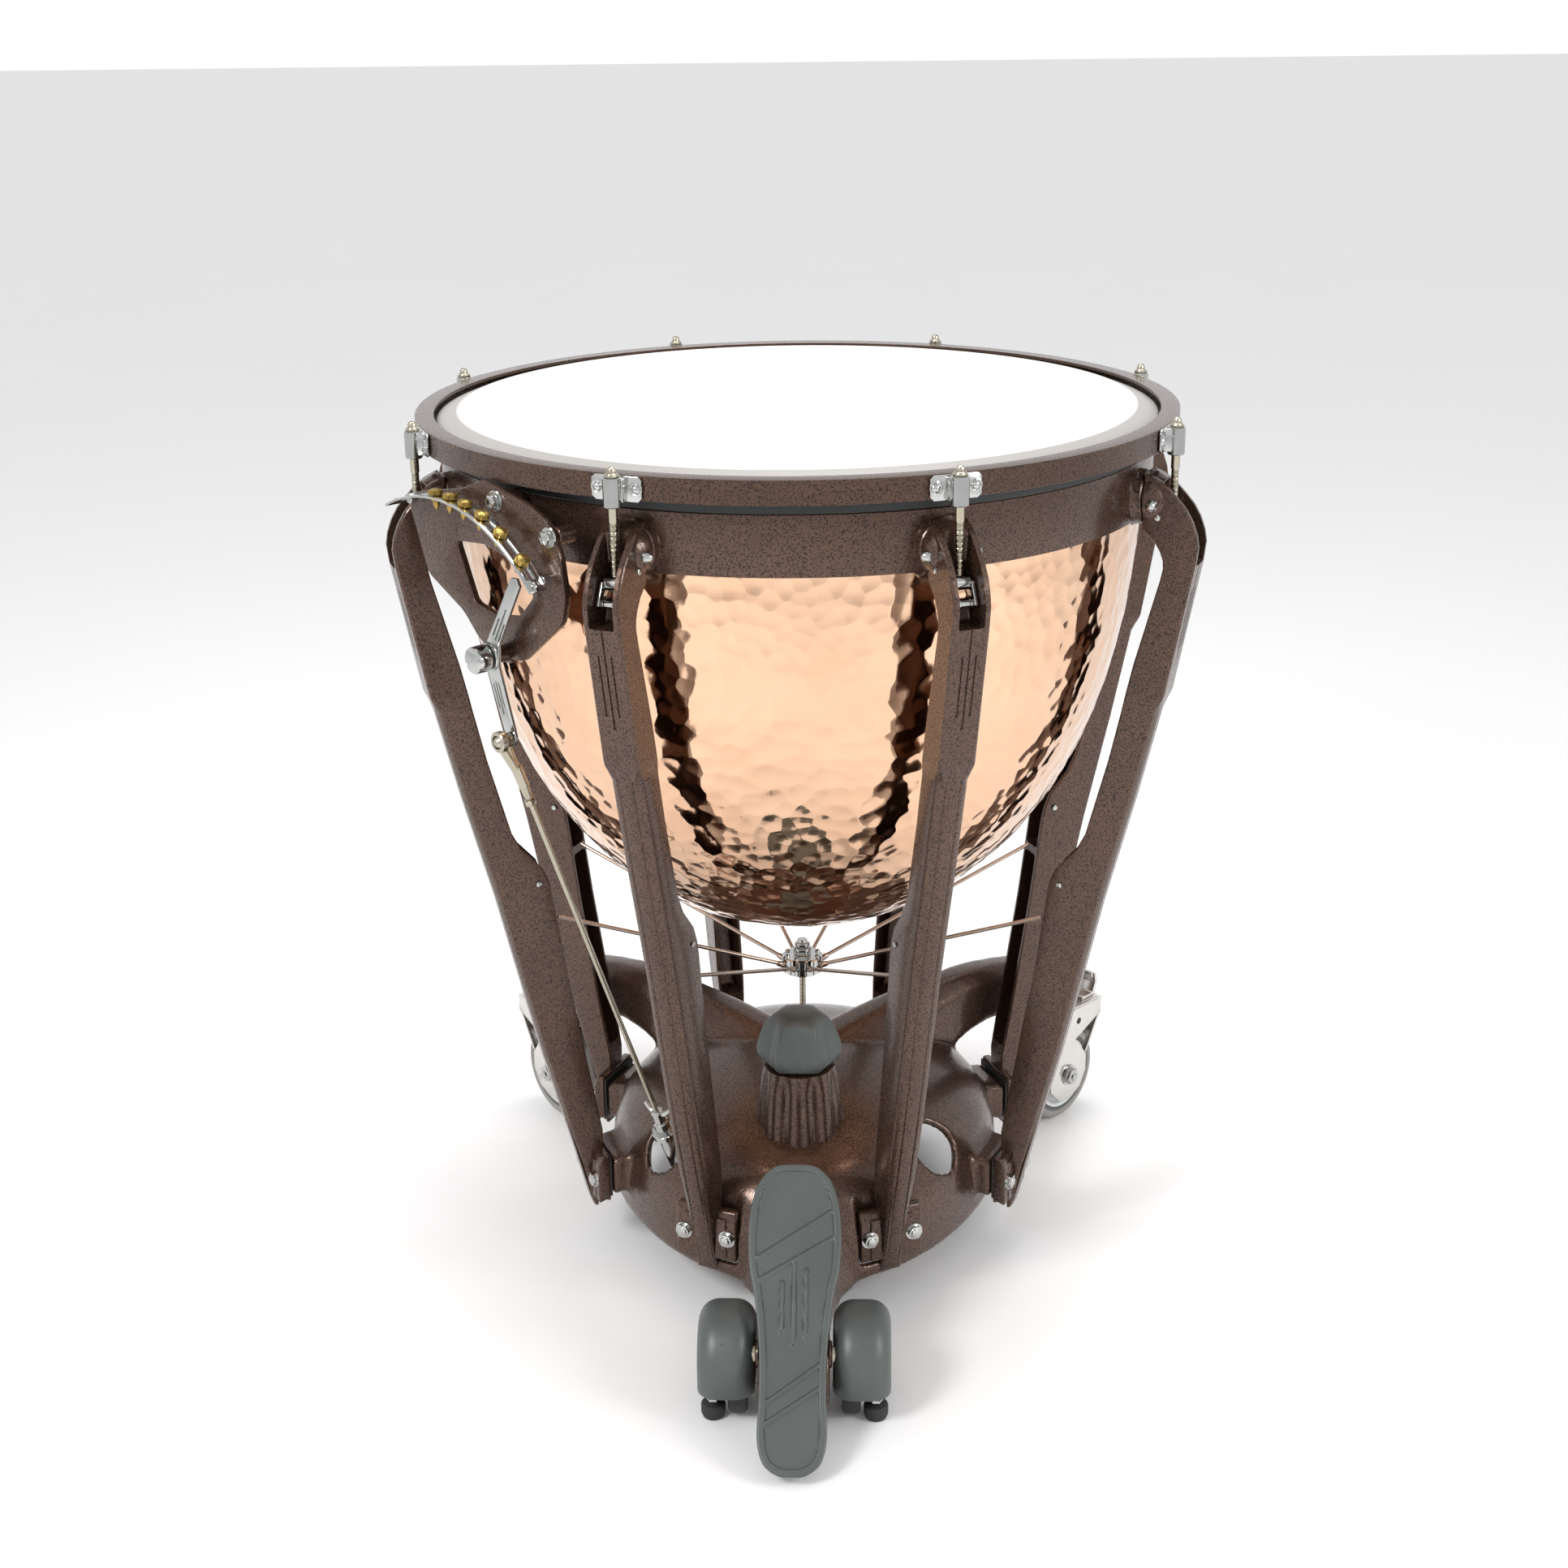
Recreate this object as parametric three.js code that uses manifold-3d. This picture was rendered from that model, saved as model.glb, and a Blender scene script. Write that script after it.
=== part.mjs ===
// A 26 inch pedal timpani. Millimetres, +Z up, the player stands on the -Y side.
// The origin is on the floor under the middle of the whole object; the bowl's axis stands behind it.
import * as THREE from 'three';
import { mergeVertices } from 'three/addons/utils/BufferGeometryUtils.js';
import Module from 'manifold-3d';

// ---- driving dimensions ----
const ROUND = 32;
const SMALL_ROUND = 10;
const GAP = 0.3;
const AXIS_Y = 62.4;

const STATIONS = 8;
const ROD_CIRCLE = 376;
const ROD_TOP = 890;
const ROD_BOTTOM = 796.5;
const ROD_RADIUS = 3.9;
const ROD_HEAD = 6.4;

const HOOP_OUTER = 366;
const HOOP_WALL = 4;
const HOOP_INNER = 348;
const HOOP_TOP = 881.5;
const HOOP_BOTTOM = 860;
const HOOP_FLANGE = 3.2;
const HEAD_Z = 882;
const HEAD_FLAT = 327;
const HEAD_FILM = 0.8;

const RING_OUTER = 343;
const RING_INNER = 337.4;
const RING_TOP = 848;
const RING_BOTTOM = 793;
const BAND_TOP = 857.5;
const BOSS_Z = 815;
const BOSS_RADIUS = 25;
const BOSS_REACH = 351.5;

const BOWL_WALL = 2.5;
const BOWL_BOTTOM = 353;

const STRUT_WIDTH = 35;
const STRUT_CHANNEL = 24;
const STRUT_SKIN = 7;
const FOOT_BOLT_Z = 91;
const FOOT_BOLT_SPREAD = 23.6;
const FOOT_WIDTH = 66;
const PAD_FACE = 226;
const KNEE_PIN_R = 284;
const KNEE_PIN_Z = 425.5;
const HEAD_BOLT_R = 361;
const HEAD_BOLT_Z = 812;

const ROCKER_PIVOT_R = 358;
const ROCKER_Z = 790;
const ROCKER_WIDTH = 21;

const HUB_Z = 287;
const HUB_RADIUS = 21;
const SPOKE_RADIUS = 2;
const SPOKE_END_R = 262;
const SPOKE_END_Z = 381;

const BASE_WALL = 7;
const KNOB_Y = -140;
const KNOB_BOTTOM = 240;
const KNOB_TOP = 296;
const KNOB_RADIUS = 42.5;

const CASTER_R = 325;
const CASTER_ANGLE = 124.5;
const CASTER_TRAIL = 29;
const CASTER_HEADING = 42;
const REAR_WHEEL = 57;
const REAR_WHEEL_WIDTH = 28;

const PEDAL_PIVOT_Y = -398;
const PEDAL_PIVOT_Z = 70;
const FENDER_X = 63;
const FENDER_WIDTH = 54;
const FENDER_Y = -370;
const FENDER_Z = 52;
const FENDER_RADIUS = 50;
const FENDER_LIP = 34;
const FRONT_WHEEL = 28;
const FRONT_WHEEL_X = 53;
const FRONT_WHEEL_Y = -382;
const FOOT_X = 76;

const GAUGE_ANGLE = -45;
const GAUGE_PLATE = 368;
const TRACK_T = -38;
const TRACK_Z = 667;
const TRACK_RADIUS = 177;
const TRACK_NEAR = 383;
const TRACK_FAR = 401;
const TRACK_FROM = 41;
const TRACK_TO = 116;
const POINTER_T = 20;
const POINTER_Z = 710;
const LINK_TOP = [-249.6, -313.2, 640];
const LINK_FOOT = [-123, -137, 112];

// ---- colours of the finishes ----
const FINISH = {
  hammertone: { color: 0x5a4238, roughness: 0.35, metalness: 0.6 },
  copper: { color: 0xc98a62, roughness: 0.15, metalness: 1.0 },
  chrome: { color: 0xc8c8c6, roughness: 0.15, metalness: 1.0 },
  steel: { color: 0xa9a294, roughness: 0.3, metalness: 1.0 },
  brass: { color: 0xb08d3c, roughness: 0.3, metalness: 1.0 },
  film: { color: 0xf1efec, roughness: 0.5, metalness: 0.0 },
  rubber: { color: 0x2e2f2f, roughness: 0.7, metalness: 0.0 },
  tyre: { color: 0x8c8a86, roughness: 0.6, metalness: 0.0 },
  cast: { color: 0x5b6061, roughness: 0.6, metalness: 0.3 },
};

const wasm = await Module();
wasm.setup();
const group = new THREE.Group();

// ---- helpers ----
const radians = (degrees) => (degrees * Math.PI) / 180;

function manifoldOf(geometry) {
  const bare = geometry.index ? geometry.toNonIndexed() : geometry.clone();
  bare.deleteAttribute('normal');
  bare.deleteAttribute('uv');
  const merged = mergeVertices(bare, 1e-4);
  const index = merged.index.array;
  const kept = [];
  for (let i = 0; i < index.length; i += 3) {
    const [a, b, c] = [index[i], index[i + 1], index[i + 2]];
    if (a !== b && b !== c && c !== a) {
      kept.push(a, b, c);
    }
  }
  const mesh = new wasm.Mesh({
    numProp: 3,
    vertProperties: new Float32Array(merged.attributes.position.array),
    triVerts: new Uint32Array(kept),
  });
  return new wasm.Manifold(mesh);
}

function join(first, ...others) {
  return others.reduce((sum, other) => sum.add(other), first);
}

function cut(body, ...tools) {
  return tools.reduce((rest, tool) => rest.subtract(tool), body);
}

function node(name, finish, body) {
  const mesh = body.translate(0, AXIS_Y, 0).getMesh();
  const geometry = new THREE.BufferGeometry();
  geometry.setAttribute('position', new THREE.BufferAttribute(new Float32Array(mesh.vertProperties), 3));
  geometry.setIndex(new THREE.BufferAttribute(new Uint32Array(mesh.triVerts), 1));
  geometry.computeVertexNormals();
  const part = new THREE.Mesh(geometry, new THREE.MeshStandardMaterial(FINISH[finish]));
  part.name = name;
  group.add(part);
}

function box(low, high) {
  const geometry = new THREE.BoxGeometry(high[0] - low[0], high[1] - low[1], high[2] - low[2]);
  geometry.translate((low[0] + high[0]) / 2, (low[1] + high[1]) / 2, (low[2] + high[2]) / 2);
  return manifoldOf(geometry);
}

// A closed profile of [radius, z] points turned about the Z axis.
function turned(profile, segments = ROUND) {
  const closed = [...profile, profile[0]].map(([r, z]) => new THREE.Vector2(r, z));
  const geometry = new THREE.LatheGeometry(closed, segments);
  geometry.rotateX(Math.PI / 2);
  const body = manifoldOf(geometry);
  return body.volume() > 0 ? body : manifoldOf(flipped(geometry));
}

function flipped(geometry) {
  const copy = geometry.index ? geometry.toNonIndexed() : geometry.clone();
  const p = copy.attributes.position;
  for (let i = 0; i < p.count; i += 3) {
    const [x, y, z] = [p.getX(i), p.getY(i), p.getZ(i)];
    p.setXYZ(i, p.getX(i + 1), p.getY(i + 1), p.getZ(i + 1));
    p.setXYZ(i + 1, x, y, z);
  }
  return copy;
}

// A straight bar between two points, round by default.
function bar(from, to, radius, segments = SMALL_ROUND, endRadius = radius) {
  const start = new THREE.Vector3(...from);
  const end = new THREE.Vector3(...to);
  const geometry = new THREE.CylinderGeometry(endRadius, radius, start.distanceTo(end), segments);
  const turn = new THREE.Quaternion();
  turn.setFromUnitVectors(new THREE.Vector3(0, 1, 0), end.clone().sub(start).normalize());
  geometry.applyQuaternion(turn);
  geometry.translate((from[0] + to[0]) / 2, (from[1] + to[1]) / 2, (from[2] + to[2]) / 2);
  return manifoldOf(geometry);
}

// A flat outline pushed through a thickness: outline points are [x, y], depth runs along z.
function plate(outline, depthLow, depthHigh, holes = []) {
  const shape = new THREE.Shape(outline.map(([x, y]) => new THREE.Vector2(x, y)));
  for (const hole of holes) {
    shape.holes.push(new THREE.Path(hole.map(([x, y]) => new THREE.Vector2(x, y))));
  }
  const settings = { depth: depthHigh - depthLow, bevelEnabled: false, curveSegments: SMALL_ROUND };
  const geometry = new THREE.ExtrudeGeometry(shape, settings);
  geometry.translate(0, 0, depthLow);
  return manifoldOf(geometry);
}

// Sections with equal point counts joined into one closed body, ends fanned shut.
function loft(sections) {
  const count = sections[0].length;
  const positions = sections.flat(2);
  const middles = [sections[0], sections[sections.length - 1]].map((section) => {
    return [0, 1, 2].map((k) => section.reduce((sum, point) => sum + point[k], 0) / count);
  });
  positions.push(...middles[0], ...middles[1]);
  const lowMiddle = sections.length * count;
  const highMiddle = lowMiddle + 1;
  const lastRow = (sections.length - 1) * count;
  const index = [];
  for (let j = 0; j < count; j += 1) {
    const k = (j + 1) % count;
    for (let i = 0; i < sections.length - 1; i += 1) {
      const [a, b, c, d] = [i * count + j, i * count + k, (i + 1) * count + j, (i + 1) * count + k];
      index.push(a, b, d, a, d, c);
    }
    index.push(lowMiddle, k, j);
    index.push(highMiddle, lastRow + j, lastRow + k);
  }
  const geometry = new THREE.BufferGeometry();
  geometry.setAttribute('position', new THREE.BufferAttribute(new Float32Array(positions), 3));
  geometry.setIndex(index);
  const body = manifoldOf(geometry);
  return body.volume() > 0 ? body : manifoldOf(flipped(geometry));
}

// Moves a body whose x runs outwards, y up and z back across the station, to its angle.
function stationed(body, angle) {
  const a = radians(angle);
  const out = [Math.sin(a), -Math.cos(a), 0];
  const across = [-Math.cos(a), -Math.sin(a), 0];
  return body.transform([...out, 0, 0, 0, 1, 0, ...across, 0, 0, 0, 0, 1]);
}

// The point at radius r and height z of a station, moved sideways by t.
function at(angle, r, z, t = 0) {
  const a = radians(angle);
  return [r * Math.sin(a) + t * Math.cos(a), -r * Math.cos(a) + t * Math.sin(a), z];
}

const stationAngles = Array.from({ length: STATIONS }, (_, i) => 22.5 + (i * 360) / STATIONS);

// ---- bowl ----
function bowlRadius(z) {
  const fall = (956 - z) / 603;
  return 336.7 * Math.sqrt(Math.max(0, 1 - fall ** 3)) * (z > RING_BOTTOM ? 1 : 1.004);
}
const bowlLevels = [790, 700, 620, 550, 490, 440, 400, 368];
const bowlOutside = bowlLevels.map((z) => [Math.min(bowlRadius(z), 336.7), z]);
const bowlInside = bowlLevels.map((z) => [Math.min(bowlRadius(z), 336.7) - BOWL_WALL, z + 1]).reverse();
node('bowl', 'copper', turned([
  [HEAD_FLAT, HEAD_Z - HEAD_FILM - GAP],
  [332, 872],
  [336.7, 846],
  ...bowlOutside,
  [0, BOWL_BOTTOM],
  [0, BOWL_BOTTOM + BOWL_WALL],
  ...bowlInside,
  [336.7 - BOWL_WALL, 846],
  [HEAD_FLAT - BOWL_WALL, 874],
]));

// ---- ring the struts bolt to, with a round boss at each station ----
let ring = turned([
  [RING_INNER, RING_BOTTOM],
  [RING_OUTER, RING_BOTTOM],
  [RING_OUTER, RING_TOP],
  [RING_INNER, RING_TOP],
]);
for (const angle of stationAngles) {
  ring = ring.add(bar(at(angle, RING_OUTER - 3, BOSS_Z), at(angle, BOSS_REACH, BOSS_Z), BOSS_RADIUS, 12));
}
node('bowl_ring', 'hammertone', ring);

node('bearing_band', 'rubber', turned([
  [RING_INNER, RING_TOP + GAP],
  [RING_OUTER + 1.5, RING_TOP + GAP],
  [RING_OUTER + 1.5, BAND_TOP],
  [RING_INNER, BAND_TOP],
]));

// ---- head, flesh hoop and counterhoop ----
node('drum_head', 'film', turned([
  [0, HEAD_Z - HEAD_FILM],
  [HEAD_FLAT + 1, HEAD_Z - HEAD_FILM],
  [344.5, 874.5],
  [344.5, 863],
  [345.4, 863],
  [345.4, 875.2],
  [HEAD_FLAT + 1, HEAD_Z],
  [0, HEAD_Z],
]));
node('flesh_hoop', 'steel', turned([
  [346, 861],
  [355.5, 861],
  [355.5, 873.5],
  [346, 873.5],
]));
let hoop = turned([
  [HOOP_INNER, HOOP_TOP - HOOP_FLANGE],
  [HOOP_OUTER - HOOP_WALL, HOOP_TOP - HOOP_FLANGE],
  [HOOP_OUTER - HOOP_WALL, HOOP_BOTTOM],
  [HOOP_OUTER, HOOP_BOTTOM],
  [HOOP_OUTER, HOOP_TOP],
  [HOOP_INNER, HOOP_TOP],
]);
const LUG_HALF = 23.5;
for (const angle of stationAngles) {
  const lugSheet = plate([
    [HOOP_OUTER - 3, HOOP_TOP - 22],
    [HOOP_OUTER + 2.2, HOOP_TOP - 22],
    [HOOP_OUTER + 2.2, HOOP_TOP],
    [HOOP_OUTER - 3, HOOP_TOP],
  ], -LUG_HALF, LUG_HALF);
  const eye = bar(at(angle, ROD_CIRCLE, HOOP_TOP - 26), at(angle, ROD_CIRCLE, HOOP_TOP - 1), 8, 10);
  const bore = bar(at(angle, ROD_CIRCLE, HOOP_TOP - 30), at(angle, ROD_CIRCLE, HOOP_TOP + 3), ROD_RADIUS + GAP, 8);
  const neck = plate([
    [HOOP_OUTER, HOOP_TOP - 24],
    [ROD_CIRCLE - 5, HOOP_TOP - 24],
    [ROD_CIRCLE - 5, HOOP_TOP - 1],
    [HOOP_OUTER, HOOP_TOP - 1],
  ], -7, 7);
  hoop = join(hoop, stationed(lugSheet, angle), stationed(neck, angle), eye).subtract(bore);
}
node('counterhoop', 'hammertone', hoop);

// ---- tension rods ----
const rod = turned([
  [0, ROD_BOTTOM],
  [ROD_RADIUS, ROD_BOTTOM],
  [ROD_RADIUS, HOOP_TOP - 1 + GAP],
  [ROD_HEAD, HOOP_TOP - 1 + GAP],
  [ROD_HEAD, HOOP_TOP + 1],
  [ROD_RADIUS - 0.4, HOOP_TOP + 1],
  [ROD_RADIUS - 0.4, ROD_TOP - 2],
  [1.8, ROD_TOP],
  [0, ROD_TOP],
], 8);
stationAngles.forEach((angle, i) => {
  const [x, y] = at(angle, ROD_CIRCLE, 0);
  node(`tension_rod_${i + 1}`, 'chrome', rod.translate(x, y, 0));
});

// ---- struts ----
const strutOuter = [
  [240, 52],
  [244, 66],
  [257, 120],
  [285, 231],
  [299, 293],
  [324, 408],
  [352, 520],
  [374, 618],
  [379, 628],
  [403, 757],
  [405, 775],
  [400, 795],
  [390, 813],
  [378, 823],
  [352, 840],
];
const strutInner = [
  [352, 788],
  [364, 777],
  [371, 765],
  [373, 752],
  [349, 658],
  [328, 560],
  [308, 482],
  [299, 464],
  [276, 438],
  [270, 415],
  [258, 320],
  [240, 206],
  [229, 140],
  [229, 84],
  [236, 56],
];
function edgeAt(edge, z) {
  for (let i = 0; i < edge.length - 1; i += 1) {
    const [r0, z0] = edge[i];
    const [r1, z1] = edge[i + 1];
    if ((z - z0) * (z - z1) <= 0 && z0 !== z1) {
      return r0 + ((r1 - r0) * (z - z0)) / (z1 - z0);
    }
  }
  return edge[0][0];
}
let strut = plate([...strutOuter, ...strutInner], -STRUT_WIDTH / 2, STRUT_WIDTH / 2);
// the round head that meets the ring's boss
strut = strut.add(bar([352, BOSS_Z, 0], [372, BOSS_Z, 0], BOSS_RADIUS, 12));
// the open window in front of the rocker
strut = strut.subtract(plate([
  [354.5, 776],
  [372, 776],
  [375, 758],
  [420, 758],
  [420, 850],
  [367.5, 850],
  [366, 806],
  [354.5, 806],
], -11.5, 11.5));
// the channel down the inner side, in bays between cross webs
const BAYS = [[150, 372], [380, 590], [598, 745]];
for (const [low, high] of BAYS) {
  const middle = (low + high) / 2;
  strut = strut.subtract(plate([
    [edgeAt(strutOuter, low) - STRUT_SKIN, low],
    [edgeAt(strutOuter, middle) - STRUT_SKIN, middle],
    [edgeAt(strutOuter, high) - STRUT_SKIN - 1, high],
    [edgeAt(strutInner, high) - 20, high],
    [edgeAt(strutInner, low) - 20, low],
  ], -STRUT_CHANNEL / 2, STRUT_CHANNEL / 2));
}
const footPlate = plate([
  [PAD_FACE + 2, 70],
  [PAD_FACE + 14, 66],
  [PAD_FACE + 14, 106],
  [PAD_FACE + 10, 118],
  [PAD_FACE + 2, 118],
], -FOOT_WIDTH / 2, FOOT_WIDTH / 2);
strut = strut.add(footPlate);
for (const side of [-1, 1]) {
  const t = side * FOOT_BOLT_SPREAD;
  strut = strut.add(bar([PAD_FACE + 12, FOOT_BOLT_Z, t], [PAD_FACE + 20, FOOT_BOLT_Z, t], 7.5, 6));
  strut = strut.add(bar([HEAD_BOLT_R, HEAD_BOLT_Z, side * 16], [HEAD_BOLT_R, HEAD_BOLT_Z, side * 24], 6, 6));
}
strut = strut.add(bar([KNEE_PIN_R, KNEE_PIN_Z, -18.2], [KNEE_PIN_R, KNEE_PIN_Z, 18.2], 2.5, 6));
stationAngles.forEach((angle, i) => {
  node(`strut_${i + 1}`, 'hammertone', stationed(strut, angle));
});

// ---- rockers: a pivot, two cheeks and two cross barrels inside each strut head ----
const cheek = [
  [ROCKER_PIVOT_R - 2, ROCKER_Z - 4],
  [ROCKER_PIVOT_R + 17, ROCKER_Z - 8],
  [ROCKER_PIVOT_R + 29, ROCKER_Z - 20],
  [ROCKER_PIVOT_R + 35, ROCKER_Z - 16],
  [ROCKER_PIVOT_R + 26, ROCKER_Z + 3],
  [ROCKER_PIVOT_R - 2, ROCKER_Z + 4],
];
const half = ROCKER_WIDTH / 2;
const rocker = join(
  plate(cheek, -half, -half + 3),
  plate(cheek, half - 3, half),
  bar([ROD_CIRCLE, ROCKER_Z, -half + 1], [ROD_CIRCLE, ROCKER_Z, half - 1], 6, 8),
  bar([ROCKER_PIVOT_R + 30, ROCKER_Z - 15, -half + 1], [ROCKER_PIVOT_R + 30, ROCKER_Z - 15, half - 1], 3.5, 8),
);
stationAngles.forEach((angle, i) => {
  node(`rocker_${i + 1}`, 'chrome', stationed(rocker, angle));
});

// ---- spoke hub and pull rod under the bowl ----
let hub = turned([
  [0, HUB_Z - 9],
  [HUB_RADIUS, HUB_Z - 9],
  [HUB_RADIUS, HUB_Z + 6],
  [HUB_RADIUS - 2, HUB_Z + 9],
  [0, HUB_Z + 9],
], 24);
hub = join(hub, bar([0, 0, HUB_Z + 8], [0, 0, HUB_Z + 26], 8, 6));
for (const angle of stationAngles) {
  hub = hub.add(bar(at(angle, HUB_RADIUS - 6, HUB_Z - 2), at(angle, SPOKE_END_R, SPOKE_END_Z), SPOKE_RADIUS, 6));
}
node('spoke_hub', 'chrome', hub);
node('pull_rod', 'steel', bar([0, 0, 140], [0, 0, HUB_Z - 9 - GAP], 3.5));

// ---- base casting ----
function skirtStretch(theta) {
  return 0.965 + 0.195 * Math.max(0, Math.cos(theta)) ** 4;
}
// A turned shape whose radius is stretched towards the player's side.
function stretched(profile) {
  const closed = profile.map(([r, z]) => new THREE.Vector2(r, z));
  const geometry = new THREE.LatheGeometry(closed, 32);
  geometry.rotateX(Math.PI / 2);
  const p = geometry.attributes.position;
  for (let i = 0; i < p.count; i += 1) {
    const r = Math.hypot(p.getX(i), p.getY(i));
    const k = 1 + (skirtStretch(Math.atan2(p.getX(i), -p.getY(i))) - 1) * Math.min(1, r / 150);
    p.setX(i, p.getX(i) * k);
    p.setY(i, p.getY(i) * k);
  }
  const body = manifoldOf(geometry);
  return body.volume() > 0 ? body : manifoldOf(flipped(geometry));
}
const domeOutside = [[60, 192], [110, 183], [150, 170], [180, 154], [200, 134], [211, 108], [214, 45]];
let base = stretched([[0, 196], ...domeOutside, [0, 45]]);

// One inverted trough of an arm: the section is narrow on top and wide below.
function armSection(r, top, bottom, crest, shoulder, foot, drop) {
  return [
    [r, bottom, -foot],
    [r, top - drop, -shoulder],
    [r, top, -crest],
    [r, top, crest],
    [r, top - drop, shoulder],
    [r, bottom, foot],
  ];
}
const rearArm = loft([
  armSection(20, 198, 60, 14, 40, 60, 20),
  armSection(90, 212, 100, 13, 34, 50, 20),
  armSection(150, 220, 138, 12, 30, 38, 18),
  armSection(220, 226, 164, 12, 24, 27, 16),
  armSection(290, 218, 166, 13, 24, 27, 14),
  armSection(CASTER_R, 206, 160, 15, 22, 25, 12),
]);
const rearHollow = loft([
  armSection(60, 190, 20, 6, 28, 52, 20),
  armSection(150, 211, 20, 5, 22, 35, 18),
  armSection(220, 216, 20, 5, 16, 19, 16),
  armSection(290, 208, 20, 5, 15, 19, 12),
]);
const frontArm = loft([
  [[-90, -170, 45], [90, -170, 45], [60, -170, 118], [-60, -170, 118]],
  [[-60, -236, 42], [60, -236, 42], [42, -236, 92], [-42, -236, 92]],
  [[-41, -272, 38], [41, -272, 38], [33, -272, 80], [-33, -272, 80]],
  [[-31, -335, 34], [31, -335, 34], [27, -335, 66], [-27, -335, 66]],
  [[-30, -378, 34], [30, -378, 34], [27, -378, 56], [-27, -378, 56]],
]);
const frontHollow = loft([
  [[-80, -150, 20], [80, -150, 20], [52, -150, 108], [-52, -150, 108]],
  [[-53, -236, 20], [53, -236, 20], [35, -236, 85], [-35, -236, 85]],
  [[-34, -272, 20], [34, -272, 20], [26, -272, 73], [-26, -272, 73]],
  [[-24, -335, 20], [24, -335, 20], [20, -335, 58], [-20, -335, 58]],
]);
const FLUTES = 8;
function flutedRing(radius, z, depth) {
  return Array.from({ length: FLUTES * 2 }, (_, i) => {
    const a = (i * Math.PI) / FLUTES;
    const r = radius - (i % 2) * depth;
    return [r * Math.sin(a), KNOB_Y + r * Math.cos(a), z];
  });
}
const housing = loft([flutedRing(44, 110, 2), flutedRing(42, 160, 3), flutedRing(35.5, KNOB_BOTTOM - GAP, 2)]);
base = base.add(housing).add(frontArm);
for (const side of [-1, 1]) {
  base = base.add(stationed(rearArm, side * CASTER_ANGLE));
  const boss = [...at(side * CASTER_ANGLE, CASTER_R, 0)];
  base = base.add(bar([boss[0], boss[1], 158], [boss[0], boss[1], 204], 26, 12));
}
const domeInside = domeOutside.map(([r, z]) => [r - BASE_WALL, z - (r > 205 ? 25 : BASE_WALL * 0.9)]);
base = base.subtract(stretched([[0, 188], ...domeInside, [0, 20]]));
base = base.subtract(frontHollow);
for (const side of [-1, 1]) {
  base = base.subtract(stationed(rearHollow, side * CASTER_ANGLE));
}
// pads the strut feet bolt to
const pad = plate([
  [184, 80],
  [PAD_FACE - 0.5, 70],
  [PAD_FACE - 0.5, 112],
  [184, 118],
], -FOOT_WIDTH / 2, FOOT_WIDTH / 2);
const padClearance = box([PAD_FACE - 0.5, 50, -FOOT_WIDTH / 2 - 1], [PAD_FACE + 60, 140, FOOT_WIDTH / 2 + 1]);
for (const angle of stationAngles) {
  base = base.subtract(stationed(padClearance, angle)).add(stationed(pad, angle));
}
// the two hand holes beside the knob, and the pull rod's hole
for (const angle of [-GAUGE_ANGLE, GAUGE_ANGLE]) {
  base = base.subtract(bar(at(angle, 156, 75), at(angle, 211, 184), 31.5, 12));
}
base = base.subtract(bar([0, 0, 150], [0, 0, 230], 9));
// the cheeks that carry the pedal shaft
for (const side of [-1, 1]) {
  const [inner, outer] = [side * 15.5, side * 33];
  const low = Math.min(inner, outer);
  const profile = [
    [-374, 34], [-426, 34], [-427, 50], [-420, 64], [-404, 80], [-390, 86], [-374, 84],
  ];
  const cheekBody = plate(profile, low, low + 17.5);
  base = base.add(cheekBody.transform([0, 1, 0, 0, 0, 0, 1, 0, 1, 0, 0, 0, 0, 0, 0, 1]));
}
base = base.add(box([-33, -384, 34], [33, -360, 58]));
base = base.subtract(bar([-50, PEDAL_PIVOT_Y, PEDAL_PIVOT_Z], [50, PEDAL_PIVOT_Y, PEDAL_PIVOT_Z], 7 + GAP, 16));
node('base_casting', 'hammertone', base);

// ---- tension knob ----
const lobes = [];
const KNOB_LEVELS = [[27, 241, 0], [38, 244, 4], [KNOB_RADIUS, 256, 8], [39.5, 272, 7], [31, 285, 3], [20, 292, 0]];
for (const [radius, z, depth] of KNOB_LEVELS) {
  lobes.push(Array.from({ length: 24 }, (_, i) => {
    const a = (i * Math.PI) / 12;
    const r = radius - depth * (0.5 + 0.5 * Math.cos(6 * a));
    return [r * Math.sin(a), KNOB_Y + r * Math.cos(a), z];
  }));
}
node('tension_knob', 'cast', loft(lobes).add(bar([0, KNOB_Y, 290], [0, KNOB_Y, KNOB_TOP], 20, 24, 10)));

// ---- rear casters ----
function casterBody(body, side) {
  const heading = radians(side * CASTER_HEADING);
  const [x, y] = at(side * CASTER_ANGLE, CASTER_R, 0);
  const c = Math.sin(heading);
  const s = Math.cos(heading);
  return body.transform([c, s, 0, 0, 0, 0, 1, 0, s, -c, 0, 0, x, y, 0, 1]);
}
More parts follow.
